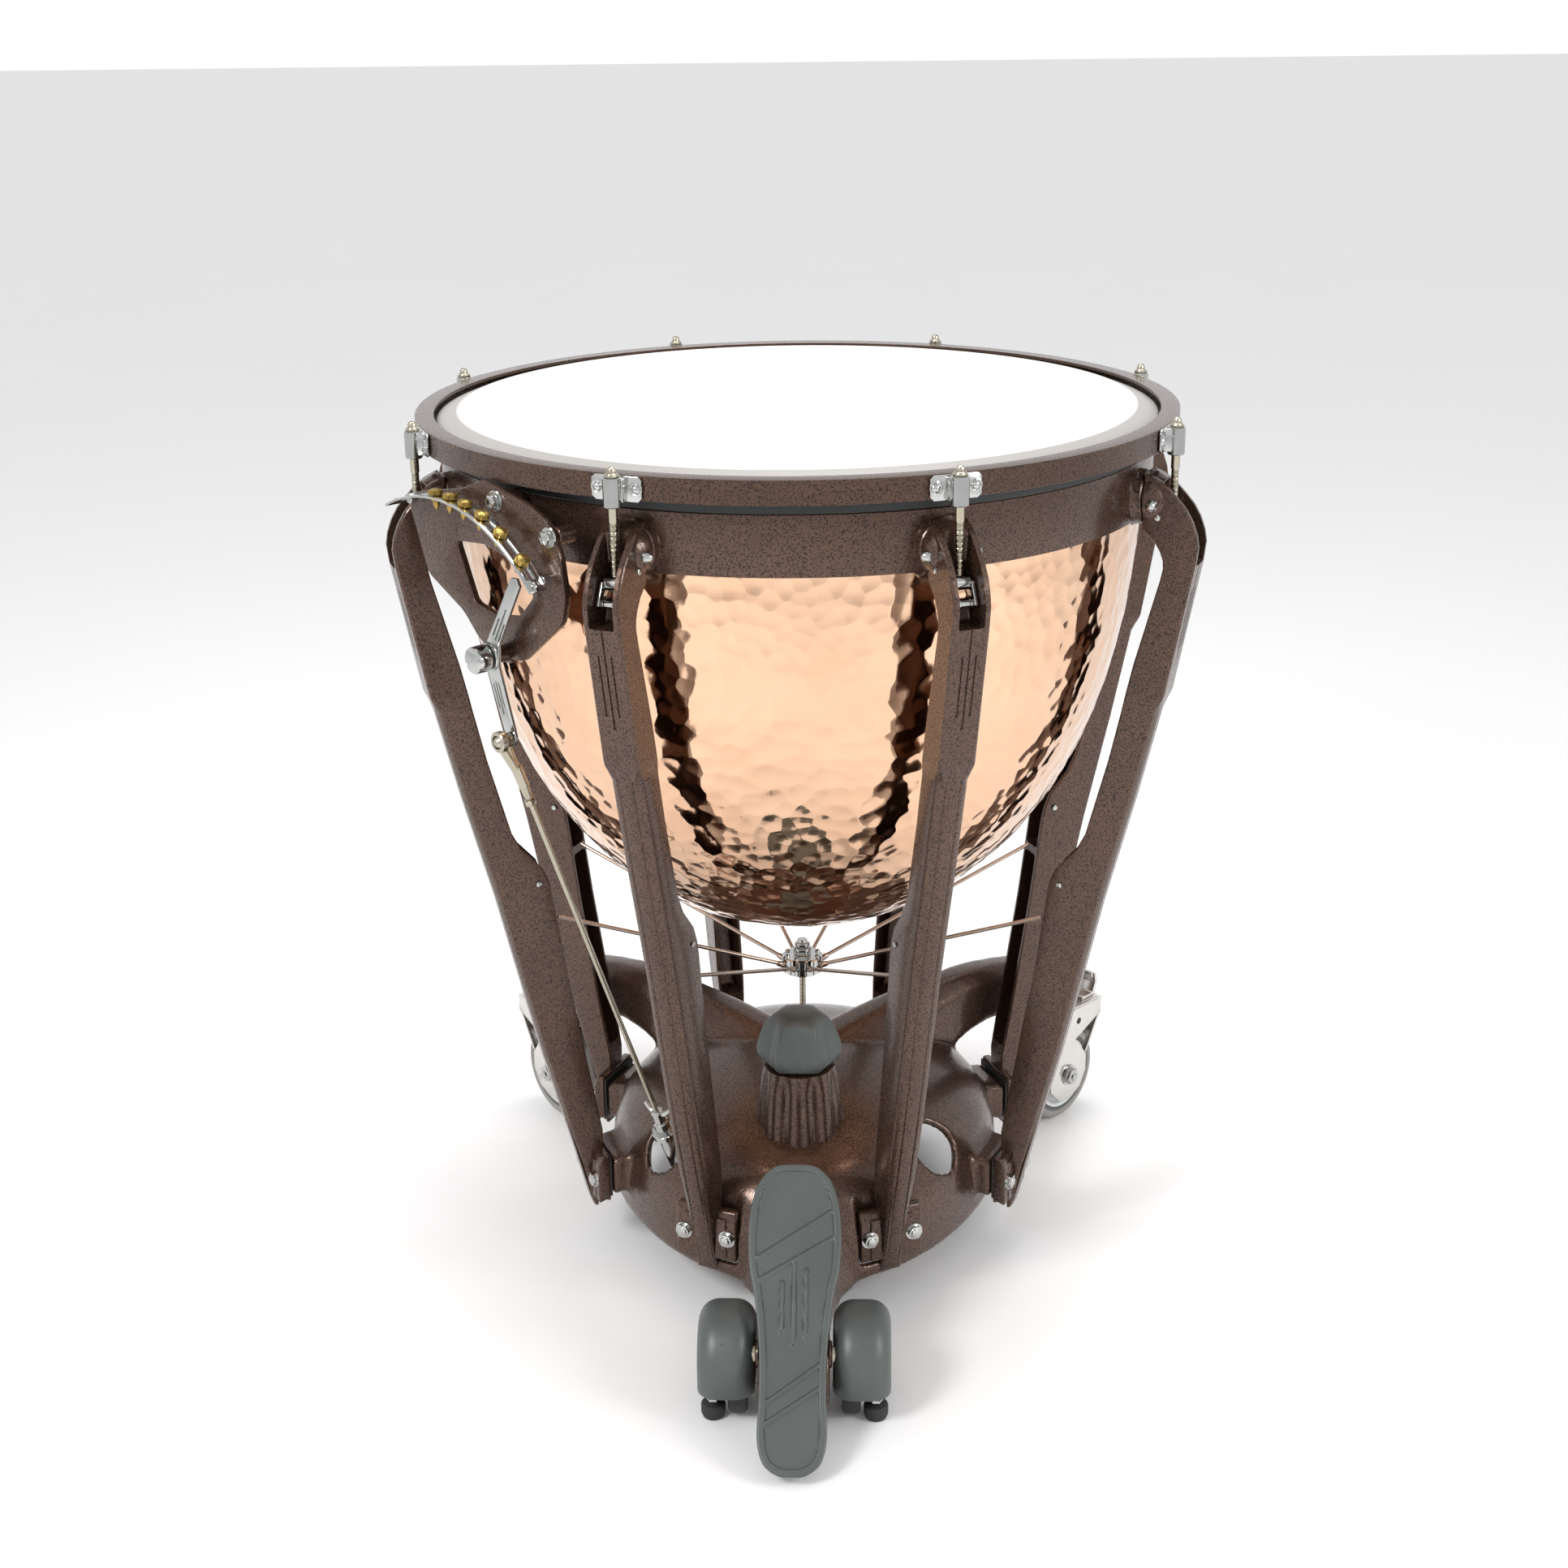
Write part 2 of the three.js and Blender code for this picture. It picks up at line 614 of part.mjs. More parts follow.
// drawn with x along the wheel's trail, y up and z across the wheel
const sidePlate = [
  [-24, 138], [-24, 122], [-6, 92], [-8, 70], [-2, 44], [14, 28], [32, 25], [52, 34], [62, 52], [62, 72],
  [50, 88], [40, 98], [88, 118], [88, 138],
];
const forkBody = join(
  plate([[-24, 135], [88, 135], [88, 139], [-24, 139]], -21, 21),
  plate(sidePlate, -21, -18),
  plate(sidePlate, 18, 21),
  bar([0, 138, 0], [0, 157.5, 0], 20, 20, 16),
  bar([CASTER_TRAIL, REAR_WHEEL, -25], [CASTER_TRAIL, REAR_WHEEL, 25], 6, 12),
);
const wheelBody = turned([
  [6.4, -13],
  [15, -8],
  [42, -REAR_WHEEL_WIDTH / 2],
  [52, -REAR_WHEEL_WIDTH / 2],
  [REAR_WHEEL, -9],
  [REAR_WHEEL, 9],
  [52, REAR_WHEEL_WIDTH / 2],
  [42, REAR_WHEEL_WIDTH / 2],
  [15, 8],
  [6.4, 13],
], 24).translate(CASTER_TRAIL, REAR_WHEEL, 0);
const leverBody = plate([[60, 139.4], [84, 139.4], [90, 156], [86, 166], [80, 166], [76, 150], [60, 145]], -15, 15);
for (const [side, name] of [[-1, 'left'], [1, 'right']]) {
  node(`rear_fork_${name}`, 'chrome', casterBody(forkBody, side));
  node(`rear_wheel_${name}`, 'tyre', casterBody(wheelBody, side));
  node(`brake_lever_${name}`, 'chrome', casterBody(leverBody, side));
}

// ---- pedal ----
// outline points: distance along the sole from the toe, and half width
const SOLE = [
  [0, 12], [6, 24], [18, 34], [40, 41], [70, 43.5], [100, 42], [120, 37.6], [126, 35.6], [140, 35], [180, 31], [220, 30.5], [260, 31.5],
  [280, 28], [289, 20], [293, 9],
];
const PEDAL_TOE = [0, -281, 203];
const PEDAL_HEEL = [0, -503, 17];
const soleLength = Math.hypot(PEDAL_HEEL[1] - PEDAL_TOE[1], PEDAL_HEEL[2] - PEDAL_TOE[2]);
const soleOutline = [
  ...SOLE.map(([s, w]) => [w, s]),
  ...[...SOLE].reverse().map(([s, w]) => [-w, s]),
];
const alongY = (PEDAL_HEEL[1] - PEDAL_TOE[1]) / soleLength;
const alongZ = (PEDAL_HEEL[2] - PEDAL_TOE[2]) / soleLength;
const SOLE_THICKNESS = 9;
// x across, y down the sole, z out of its tread
const solePlate = plate(soleOutline, -SOLE_THICKNESS, 0).transform([
  1, 0, 0, 0, 0, alongY, alongZ, 0, 0, alongZ, -alongY, 0, ...PEDAL_TOE, 1,
]);
const solePlateRight = solePlate.volume() > 0 ? solePlate : solePlate.mirror([1, 0, 0]);
const pedalLug = plate([
  [-388, 58], [-412, 58], [-420, 72], [-440, 66], [-390, 108], [-360, 132], [-372, 100],
], -13, 13).transform([0, 1, 0, 0, 0, 0, 1, 0, 1, 0, 0, 0, 0, 0, 0, 1]);
const shaftHole = bar([-40, PEDAL_PIVOT_Y, PEDAL_PIVOT_Z], [40, PEDAL_PIVOT_Y, PEDAL_PIVOT_Z], 7 + GAP, 16);
node('pedal', 'cast', solePlateRight.add(pedalLug).subtract(shaftHole));
node('pedal_shaft', 'steel', bar([-34.5, PEDAL_PIVOT_Y, PEDAL_PIVOT_Z], [34.5, PEDAL_PIVOT_Y, PEDAL_PIVOT_Z], 7, 16));

// ---- front fenders, wheels and levelling feet ----
function fenderProfile(radius, lip) {
  const points = [[FENDER_Y - radius, lip]];
  for (let i = 0; i <= 8; i += 1) {
    const a = Math.PI - (i * Math.PI) / 8;
    points.push([FENDER_Y + radius * Math.cos(a), FENDER_Z + radius * Math.sin(a)]);
  }
  points.push([FENDER_Y + radius, lip]);
  return points;
}
const alongX = [0, 1, 0, 0, 0, 0, 1, 0, 1, 0, 0, 0, 0, 0, 0, 1];
for (const [side, name] of [[-1, 'left'], [1, 'right']]) {
  const shell = cut(
    plate(fenderProfile(FENDER_RADIUS, FENDER_LIP), -FENDER_WIDTH / 2, FENDER_WIDTH / 2),
    plate(fenderProfile(FENDER_RADIUS - 3.5, FENDER_LIP - 10), -FENDER_WIDTH / 2 + 3.5, FENDER_WIDTH / 2 - 3.5),
  );
  let fender = shell.transform(alongX).translate(side * FENDER_X, 0, 0);
  const wheelX = side * FRONT_WHEEL_X;
  const footX = side * FOOT_X;
  fender = fender.add(bar([side * 37, FRONT_WHEEL_Y, FRONT_WHEEL], [side * 66.5, FRONT_WHEEL_Y, FRONT_WHEEL], 3.4));
  const axleCarrier = box(
    [Math.min(side * 37, side * 39.5), FRONT_WHEEL_Y - 9, FRONT_WHEEL - 6],
    [Math.max(side * 37, side * 39.5), FRONT_WHEEL_Y + 9, FENDER_LIP + 6],
  );
  const innerWall = box(
    [side * 65 - 1.5, FRONT_WHEEL_Y - 26, FRONT_WHEEL - 0.5],
    [side * 65 + 1.5, FRONT_WHEEL_Y + 34, FENDER_Z + 34],
  );
  fender = join(fender, axleCarrier, innerWall);
  const shelf = box(
    [Math.min(side * 64, side * 88), FRONT_WHEEL_Y - 20, 40],
    [Math.max(side * 64, side * 88), FRONT_WHEEL_Y + 10, 46],
  );
  fender = fender.add(shelf);
  fender = fender.subtract(bar([footX, -394, 30], [footX, -394, 60], 4 + GAP));
  node(`front_fender_${name}`, 'cast', fender);
  const wheel = turned([[3.8, -9], [FRONT_WHEEL - 5, -9], [FRONT_WHEEL, -5], [FRONT_WHEEL, 5], [FRONT_WHEEL - 5, 9], [3.8, 9]], 18);
  node(`front_wheel_${name}`, 'rubber', wheel.rotate([0, 90, 0]).translate(wheelX, FRONT_WHEEL_Y, FRONT_WHEEL));
  const foot = turned([[0, 0], [9, 0], [11.5, 5], [11.5, 14], [9.5, 16], [4, 16], [4, 52], [0, 52]], 10);
  node(`levelling_foot_${name}`, 'rubber', foot.translate(footX, -394, 0));
}

// ---- tuning gauge, drawn with x across, y up and z outwards from the bowl's axis ----
function gaugeBody(body) {
  const a = radians(GAUGE_ANGLE);
  return body.transform([
    Math.cos(a), Math.sin(a), 0, 0, 0, 0, 1, 0, Math.sin(a), -Math.cos(a), 0, 0, 0, 0, 0, 1,
  ]);
}
const bracketOutline = [
  [-40, 736], [-20, 716], [-2, 706], [44, 706], [103, 752], [110, 776], [104, 812], [90, 838], [60, 850], [0, 862],
  [-30, 850], [-108, 834], [-116, 824], [-92, 762],
];
const bracketWindow = [[-46, 800], [-22, 748], [14, 742], [44, 748], [66, 770], [48, 792], [0, 804]];
let bracket = plate(bracketOutline.reverse(), GAUGE_PLATE, GAUGE_PLATE + 7, [bracketWindow]);
bracket = bracket.add(bar([POINTER_T, POINTER_Z, GAUGE_PLATE + 5], [POINTER_T, POINTER_Z, 389], 7));
for (const [t, z] of [[92, 826], [18, 846]]) {
  bracket = bracket.add(bar([t, z, 352], [t, z, 381], 6));
}
const TRACK_STEPS = 12;
function trackArc(radius, from, to) {
  return Array.from({ length: TRACK_STEPS + 1 }, (_, i) => {
    const a = radians(from + ((to - from) * i) / TRACK_STEPS);
    return [TRACK_T + radius * Math.cos(a), TRACK_Z + radius * Math.sin(a)];
  });
}
function trackBand(outer, inner, from, to, near, far) {
  return plate([...trackArc(outer, from, to), ...trackArc(inner, from, to).reverse()], near, far);
}
// two posts hold the strip off the bracket
bracket = join(
  bracket,
  bar([TRACK_T + 126, TRACK_Z + 122, GAUGE_PLATE + 5], [TRACK_T + 126, TRACK_Z + 122, TRACK_NEAR - GAP], 5),
  bar([TRACK_T - 66, TRACK_Z + 163, GAUGE_PLATE + 5], [TRACK_T - 66, TRACK_Z + 163, TRACK_NEAR - GAP], 5),
);
node('gauge_bracket', 'hammertone', gaugeBody(bracket));
const strip = trackBand(TRACK_RADIUS, TRACK_RADIUS - 2, TRACK_FROM, TRACK_TO, TRACK_NEAR, TRACK_FAR);
const slot = trackBand(TRACK_RADIUS + 3, TRACK_RADIUS - 5, TRACK_FROM + 4, TRACK_TO - 4, 389.5, 394.5);
node('gauge_track', 'chrome', gaugeBody(strip.subtract(slot)));
const MARKER_ANGLES = [93, 86, 79, 71, 62, 51];
MARKER_ANGLES.forEach((angle, i) => {
  const a = radians(angle);
  const point = (radius) => [TRACK_T + radius * Math.cos(a), TRACK_Z + radius * Math.sin(a), 392];
  const marker = join(
    bar(point(TRACK_RADIUS + GAP), point(TRACK_RADIUS + 6), 6.5, 8),
    bar(point(TRACK_RADIUS - 4), point(TRACK_RADIUS + 2), 2.1, 6),
    bar(point(TRACK_RADIUS - 13), point(TRACK_RADIUS - 2 - GAP), 1.2, 6, 4.2),
  );
  node(`gauge_marker_${i + 1}`, 'brass', gaugeBody(marker));
});
const pointerBlade = plate([
  [POINTER_T - 13, POINTER_Z - 4], [POINTER_T - 4, POINTER_Z - 12], [38, 643], [42, 634], [49, 634], [53, 643],
  [POINTER_T + 13, POINTER_Z - 6], [POINTER_T + 15, POINTER_Z + 14], [68, 784], [62, 788],
], 389.6, 392.6);
const pointer = join(pointerBlade, bar([POINTER_T, POINTER_Z, 392], [POINTER_T, POINTER_Z, 412], 12, 20));
node('gauge_pointer', 'chrome', gaugeBody(pointer));

// ---- link rod from the gauge down into the base ----
const linkAt = (f) => LINK_TOP.map((v, k) => v + (LINK_FOOT[k] - v) * f);
node('link_rod', 'steel', join(
  bar(at(GAUGE_ANGLE, 393.2, 640, 45), at(GAUGE_ANGLE, 404, 640, 45), 6.5, 10),
  bar(at(GAUGE_ANGLE, 400, 640, 45), linkAt(0.06), 3.5, 8),
  bar(linkAt(0.055), linkAt(0.115), 5, 10),
  bar(linkAt(0.11), linkAt(0.86), 2.6, 8),
));
let collar = join(
  bar(linkAt(0.865), linkAt(1.1), 8.5, 10),
  bar(linkAt(0.888), linkAt(0.9), 13, 10),
  bar(linkAt(0.84), linkAt(0.87), 6, 8),
);
const wing = linkAt(0.85);
collar = collar.add(bar([wing[0] - 13, wing[1] + 8, wing[2] + 6], [wing[0] + 13, wing[1] - 8, wing[2] + 6], 2.4, 8));
node('link_collar', 'chrome', collar.subtract(bar(linkAt(0.8), linkAt(1.1), 2.6 + GAP, 8)));

export default group;
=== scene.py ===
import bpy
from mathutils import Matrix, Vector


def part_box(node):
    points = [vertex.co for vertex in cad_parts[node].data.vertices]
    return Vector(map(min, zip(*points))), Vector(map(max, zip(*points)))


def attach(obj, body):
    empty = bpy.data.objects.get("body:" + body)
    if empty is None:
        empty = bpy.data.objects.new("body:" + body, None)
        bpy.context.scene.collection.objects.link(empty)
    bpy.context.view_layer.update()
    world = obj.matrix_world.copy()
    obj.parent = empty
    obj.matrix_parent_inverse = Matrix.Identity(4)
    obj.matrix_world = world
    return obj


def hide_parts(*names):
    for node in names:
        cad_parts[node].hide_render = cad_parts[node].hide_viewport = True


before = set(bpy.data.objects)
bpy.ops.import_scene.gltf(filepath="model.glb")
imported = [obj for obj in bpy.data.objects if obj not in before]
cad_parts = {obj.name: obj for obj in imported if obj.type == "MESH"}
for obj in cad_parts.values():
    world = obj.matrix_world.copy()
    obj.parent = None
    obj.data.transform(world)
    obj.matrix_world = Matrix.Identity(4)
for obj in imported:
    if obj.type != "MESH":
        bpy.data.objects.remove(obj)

# %% [markdown]
# # A pedal timpani drum
# This lesson builds the looks of a 26 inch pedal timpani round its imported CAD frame.
# The frame brings 59 plain solids that already sit on the right moving bodies.
# Every visible piece is made here in finer detail and then rides on the body of the solid it stands for.

# %% Tools
import math

import bmesh
import bpy
from mathutils import Matrix, Vector

scene = bpy.context.scene
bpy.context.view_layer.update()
MM = 0.001
bowl_low, bowl_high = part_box("bowl")
AXIS_Y = (bowl_low.y + bowl_high.y) / 2
print("bowl's axis stands at y =", round(AXIS_Y, 4))

# %% [markdown]
# ## Working in millimetres round the bowl's axis
# A drum is drawn round its axis, so every piece is modelled in millimetres with the axis at x = y = 0.
# One function moves a finished mesh to its place in metres, so the object itself stays at the origin.

# %% Small geometry helpers
STATIONS = 8
FIRST_STATION = 22.5
STATION_ANGLES = [FIRST_STATION + i * 360 / STATIONS for i in range(STATIONS)]


def at(angle, radius, z, across=0.0):
    """The point at a radius and height in a station's plane, moved sideways by across."""
    a = math.radians(angle)
    return Vector((radius * math.sin(a) + across * math.cos(a),
                   -radius * math.cos(a) + across * math.sin(a), z))


def solid(verts, faces):
    """A working object from points in millimetres, with doubles merged and faces turned outwards."""
    mesh = bpy.data.meshes.new("work")
    mesh.from_pydata([tuple(v) for v in verts], [], [tuple(f) for f in faces])
    work = bmesh.new()
    work.from_mesh(mesh)
    bmesh.ops.remove_doubles(work, verts=work.verts, dist=0.002)
    bmesh.ops.recalc_face_normals(work, faces=work.faces)
    work.to_mesh(mesh)
    work.free()
    obj = bpy.data.objects.new("work", mesh)
    scene.collection.objects.link(obj)
    return obj


def bake(obj):
    """Turns an object's modifiers into plain mesh."""
    graph = bpy.context.evaluated_depsgraph_get()
    graph.update()
    baked = bpy.data.meshes.new_from_object(obj.evaluated_get(graph))
    obj.modifiers.clear()
    old = obj.data
    obj.data = baked
    bpy.data.meshes.remove(old)
    return obj


def shaped(obj, kind, **settings):
    """Adds one modifier and bakes it at once."""
    modifier = obj.modifiers.new(kind, kind)
    for key, value in settings.items():
        setattr(modifier, key, value)
    return bake(obj)


def rounded(obj, width, segments=3, angle=30):
    return shaped(obj, "BEVEL", width=width, segments=segments, limit_method="ANGLE",
                  angle_limit=math.radians(angle))


def cut(obj, *tools):
    """Takes the tools away from the object and then removes them."""
    for tool in tools:
        shaped(obj, "BOOLEAN", object=tool, operation="DIFFERENCE", solver="EXACT")
        bpy.data.objects.remove(tool)
    return obj


def joined(*objs):
    """Several working objects as one mesh."""
    verts, faces = [], []
    for obj in objs:
        base = len(verts)
        verts += [v.co.copy() for v in obj.data.vertices]
        faces += [[base + i for i in p.vertices] for p in obj.data.polygons]
        bpy.data.objects.remove(obj)
    mesh = bpy.data.meshes.new("work")
    mesh.from_pydata(verts, [], faces)
    obj = bpy.data.objects.new("work", mesh)
    scene.collection.objects.link(obj)
    return obj


def moved(obj, matrix):
    obj.data.transform(matrix)
    return obj


def copied(obj):
    twin = bpy.data.objects.new("work", obj.data.copy())
    scene.collection.objects.link(twin)
    return twin


def rows(sections, closed_ends=True):
    """Sections with equal point counts joined into a skin."""
    count = len(sections[0])
    verts = [p for section in sections for p in section]
    faces = []
    for i in range(len(sections) - 1):
        for j in range(count):
            k = (j + 1) % count
            faces.append((i * count + j, i * count + k, (i + 1) * count + k, (i + 1) * count + j))
    if closed_ends:
        faces.append(tuple(range(count)))
        faces.append(tuple(range((len(sections) - 1) * count, len(sections) * count)))
    return solid(verts, faces)


def turned(profile, segments=128, stretch=None):
    """A closed profile of (radius, z) points turned about the axis."""
    verts, faces = [], []
    for i in range(segments):
        a = 2 * math.pi * i / segments
        for r, z in profile:
            k = stretch(a, r) if stretch else 1.0
            verts.append((r * k * math.sin(a), -r * k * math.cos(a), z))
    n = len(profile)
    for i in range(segments):
        m = (i + 1) % segments
        for j in range(n):
            k = (j + 1) % n
            if profile[j][0] == 0 and profile[k][0] == 0:
                continue
            faces.append((i * n + j, i * n + k, m * n + k, m * n + j))
    return solid(verts, faces)


def prism(outline, low, high):
    """A flat outline of (x, y) points pushed from z low to z high."""
    return rows([[(x, y, low) for x, y in outline], [(x, y, high) for x, y in outline]])


def block(low, high):
    (x0, y0, z0), (x1, y1, z1) = low, high
    return prism([(x0, y0), (x1, y0), (x1, y1), (x0, y1)], z0, z1)


def frame_along(direction):
    """A rotation that takes +Z to a direction."""
    return Vector((0, 0, 1)).rotation_difference(Vector(direction)).to_matrix().to_4x4()


def spindle(start, end, profile, segments=32):
    """A turned part: profile gives (distance from the start, radius) along the line to the end."""
    start, end = Vector(start), Vector(end)
    shape = turned([(0, profile[0][0])] + [(r, d) for d, r in profile] + [(0, profile[-1][0])], segments)
    return moved(shape, Matrix.Translation(start) @ frame_along(end - start))


def rod(start, end, radius, segments=24, edge=0.4):
    length = (Vector(end) - Vector(start)).length
    return spindle(start, end, [(0, radius - edge), (edge, radius), (length - edge, radius),
                                (length, radius - edge)], segments)


def hexagon(start, end, across_flats):
    """A hexagon bar with chamfered ends."""
    radius = across_flats / math.sqrt(3)
    length = (Vector(end) - Vector(start)).length
    outline = [(radius * math.cos(i * math.pi / 3), radius * math.sin(i * math.pi / 3)) for i in range(6)]
    bar = rounded(prism(outline, 0, length), 0.5, 2)
    return moved(bar, Matrix.Translation(Vector(start)) @ frame_along(Vector(end) - Vector(start)))


def swept(points, radius, segments=16):
    """A round bar along a path of points."""
    points = [Vector(p) for p in points]
    sections = []
    side = None
    for i, p in enumerate(points):
        way = (points[min(i + 1, len(points) - 1)] - points[max(i - 1, 0)]).normalized()
        if side is None:
            side = way.orthogonal().normalized()
        side = (side - way * side.dot(way)).normalized()
        other = way.cross(side)
        r = radius[i] if isinstance(radius, (list, tuple)) else radius
        sections.append([p + side * (r * math.cos(t)) + other * (r * math.sin(t))
                         for t in (2 * math.pi * k / segments for k in range(segments))])
    return rows(sections)


def smooth_line(points, steps=6):
    """A Catmull-Rom curve through every point, with its ends included."""
    n = len(points)
    out = []
    for i in range(n - 1):
        p0, p1, p2, p3 = (points[max(i - 1, 0)], points[i], points[i + 1], points[min(i + 2, n - 1)])
        for s in range(steps):
            t = s / steps
            out.append(tuple(0.5 * (2 * b + (c - a) * t + (2 * a - 5 * b + 4 * c - d) * t * t
                                    + (3 * b - a - 3 * c + d) * t ** 3)
                             for a, b, c, d in zip(p0, p1, p2, p3)))
    out.append(tuple(points[-1]))
    return out


def between(table, value):
    """Reads a table of (key, number) rows by straight-line interpolation."""
    for (k0, v0), (k1, v1) in zip(table, table[1:]):
        if (value - k0) * (value - k1) <= 0 and k0 != k1:
            return v0 + (v1 - v0) * (value - k0) / (k1 - k0)
    return table[0][1] if abs(value - table[0][0]) < abs(value - table[-1][0]) else table[-1][1]


TO_FRAME = Matrix.Translation((0, AXIS_Y, 0)) @ Matrix.Scale(MM, 4)


def finished(obj, name, finish, body, replaces=(), sharp=32):
    """Moves a piece into the frame in metres, gives it its finish and lets it ride on its body."""
    obj.data.transform(TO_FRAME)
    obj.name = name
    obj.data.name = name
    obj.data.materials.clear()
    obj.data.materials.append(finish)
    obj.data.shade_smooth()
    obj.data.set_sharp_from_angle(angle=math.radians(sharp))
    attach(obj, body)
    if replaces:
        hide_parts(*replaces)
    print(name, len(obj.data.polygons), "faces on", body)
    return obj


# %% [markdown]
# ## Copies made by Geometry Nodes
# What repeats at the eight stations is modelled once, at the front, and copied round the axis by a tree.
# The tree makes one instance for each station, turns them real and gives them their finish.

# %% A tree of copies round the axis
def add(tree, kind, inputs=None, **settings):
    """Adds a node with its settings; inputs maps a socket to a value or to another node's output."""
    node = tree.nodes.new(kind)
    for key, value in settings.items():
        setattr(node, key, value)
    for key, value in (inputs or {}).items():
        if isinstance(value, bpy.types.NodeSocket):
            tree.links.new(value, node.inputs[key])
        else:
            node.inputs[key].default_value = value
    return node


def new_tree(name, sockets):
    """A geometry tree with named inputs; returns it with its input node and the sockets' identifiers."""
    tree = bpy.data.node_groups.new(name, "GeometryNodeTree")
    tree.interface.new_socket("Geometry", in_out="INPUT", socket_type="NodeSocketGeometry")
    keys = {}
    for label, kind in sockets:
        keys[label] = tree.interface.new_socket(label, in_out="INPUT", socket_type=kind).identifier
    tree.interface.new_socket("Geometry", in_out="OUTPUT", socket_type="NodeSocketGeometry")
    return tree, add(tree, "NodeGroupInput"), keys


def end_tree(tree, start, shape):
    real = add(tree, "GeometryNodeRealizeInstances", {"Geometry": shape})
    painted = add(tree, "GeometryNodeSetMaterial", {"Geometry": real.outputs[0],
                                                    "Material": start.outputs["Finish"]})
    add(tree, "NodeGroupOutput", {"Geometry": painted.outputs[0]})


copies_tree, start, COPIES = new_tree("Copies round the axis", [
    ("Count", "NodeSocketInt"), ("First angle", "NodeSocketFloat"), ("Step", "NodeSocketFloat"),
    ("Finish", "NodeSocketMaterial")])
index = add(copies_tree, "GeometryNodeInputIndex")
turn = add(copies_tree, "ShaderNodeMath", {0: index.outputs[0], 1: start.outputs["Step"],
                                           2: start.outputs["First angle"]},
           operation="MULTIPLY_ADD")
spots = add(copies_tree, "GeometryNodePoints", {"Count": start.outputs["Count"]})
angles = add(copies_tree, "ShaderNodeCombineXYZ", {"Z": turn.outputs[0]})
whole = add(copies_tree, "GeometryNodeGeometryToInstance", {0: start.outputs["Geometry"]})
copies = add(copies_tree, "GeometryNodeInstanceOnPoints",
             {"Points": spots.outputs[0], "Instance": whole.outputs[0], "Rotation": angles.outputs[0]})
end_tree(copies_tree, start, copies.outputs[0])


def run_tree(obj, tree, keys, **values):
    """Runs a geometry tree on an object with its inputs set, and keeps the result as plain mesh."""
    modifier = obj.modifiers.new("nodes", "NODES")
    modifier.node_group = tree
    for label, value in values.items():
        modifier[keys[label.replace("_", " ")]] = value
    return bake(obj)


def all_round(obj, finish, count=STATIONS, first=FIRST_STATION):
    return run_tree(obj, copies_tree, COPIES, Count=count, First_angle=math.radians(first),
                    Step=2 * math.pi / count, Finish=finish)


# %% [markdown]
# ## Camera, light and floor
# The camera looks down on the drum by about twenty degrees from a player's distance, with a 52 mm lens.
# A bright room of soft white light makes the polished copper and the plated parts read as metal.

# %% Camera
LENS_MM = 52.33
DOWN, YAW, ROLL = (math.radians(a) for a in (19.85, -2.11, -0.72))
EYE = Vector((63.9, -2198.8, 1280.4))
right_way = Vector((math.cos(YAW), -math.sin(YAW), 0))
ahead = Vector((math.cos(DOWN) * math.sin(YAW), math.cos(DOWN) * math.cos(YAW), -math.sin(DOWN)))
below = Vector((-math.sin(DOWN) * math.sin(YAW), -math.sin(DOWN) * math.cos(YAW), -math.cos(DOWN)))
camera_x = right_way * math.cos(ROLL) - below * math.sin(ROLL)
camera_y = -(right_way * math.sin(ROLL) + below * math.cos(ROLL))
camera_data = bpy.data.cameras.new("camera")
camera_data.lens = LENS_MM
camera_data.sensor_width = 36
camera = bpy.data.objects.new("camera", camera_data)
turn_matrix = Matrix((camera_x, camera_y, -ahead)).transposed().to_4x4()
camera.matrix_world = Matrix.Translation(EYE * MM + Vector((0, AXIS_Y, 0))) @ turn_matrix
scene.collection.objects.link(camera)
scene.camera = camera
print("camera height", round(camera.matrix_world.translation.z, 3))


# %% Light and floor
def hex_colour(code):
    """An sRGB hex code as linear red, green, blue and alpha."""
    parts = [((code >> shift) & 255) / 255 for shift in (16, 8, 0)]
    return tuple(c / 12.92 if c <= 0.04045 else ((c + 0.055) / 1.055) ** 2.4 for c in parts) + (1.0,)


world = bpy.data.worlds.new("studio")
scene.world = world
world.use_nodes = True
sky = world.node_tree
way = add(sky, "ShaderNodeSeparateXYZ", {0: add(sky, "ShaderNodeTexCoord").outputs["Generated"]})
height = add(sky, "ShaderNodeMapRange", {"Value": way.outputs["Z"], "From Min": 0.25, "From Max": 0.8,
                                         "To Min": 1.05,
                                         "To Max": 0.72})
sky.links.new(height.outputs[0], sky.nodes["Background"].inputs["Strength"])
sky.nodes["Background"].inputs["Color"].default_value = hex_colour(0xFBFBFC)
scene.view_settings.view_transform = "Standard"


def soft_light(name, place, target, size, power):
    data = bpy.data.lights.new(name, "AREA")
    data.shape = "DISK"
    data.size = size
    data.energy = power
    lamp = bpy.data.objects.new(name, data)
    lamp.location = place
    lamp.rotation_mode = "QUATERNION"
    lamp.rotation_quaternion = (Vector(target) - Vector(place)).to_track_quat("-Z", "Y")
    scene.collection.objects.link(lamp)


soft_light("key", (-1.6, -1.9, 2.3), (0, 0, 0.5), 0.9, 46)
soft_light("fill", (2.0, -1.2, 1.5), (0, 0, 0.4), 0.9, 20)
soft_light("top", (0.2, 0.6, 2.8), (0, 0, 0.6), 1.4, 26)


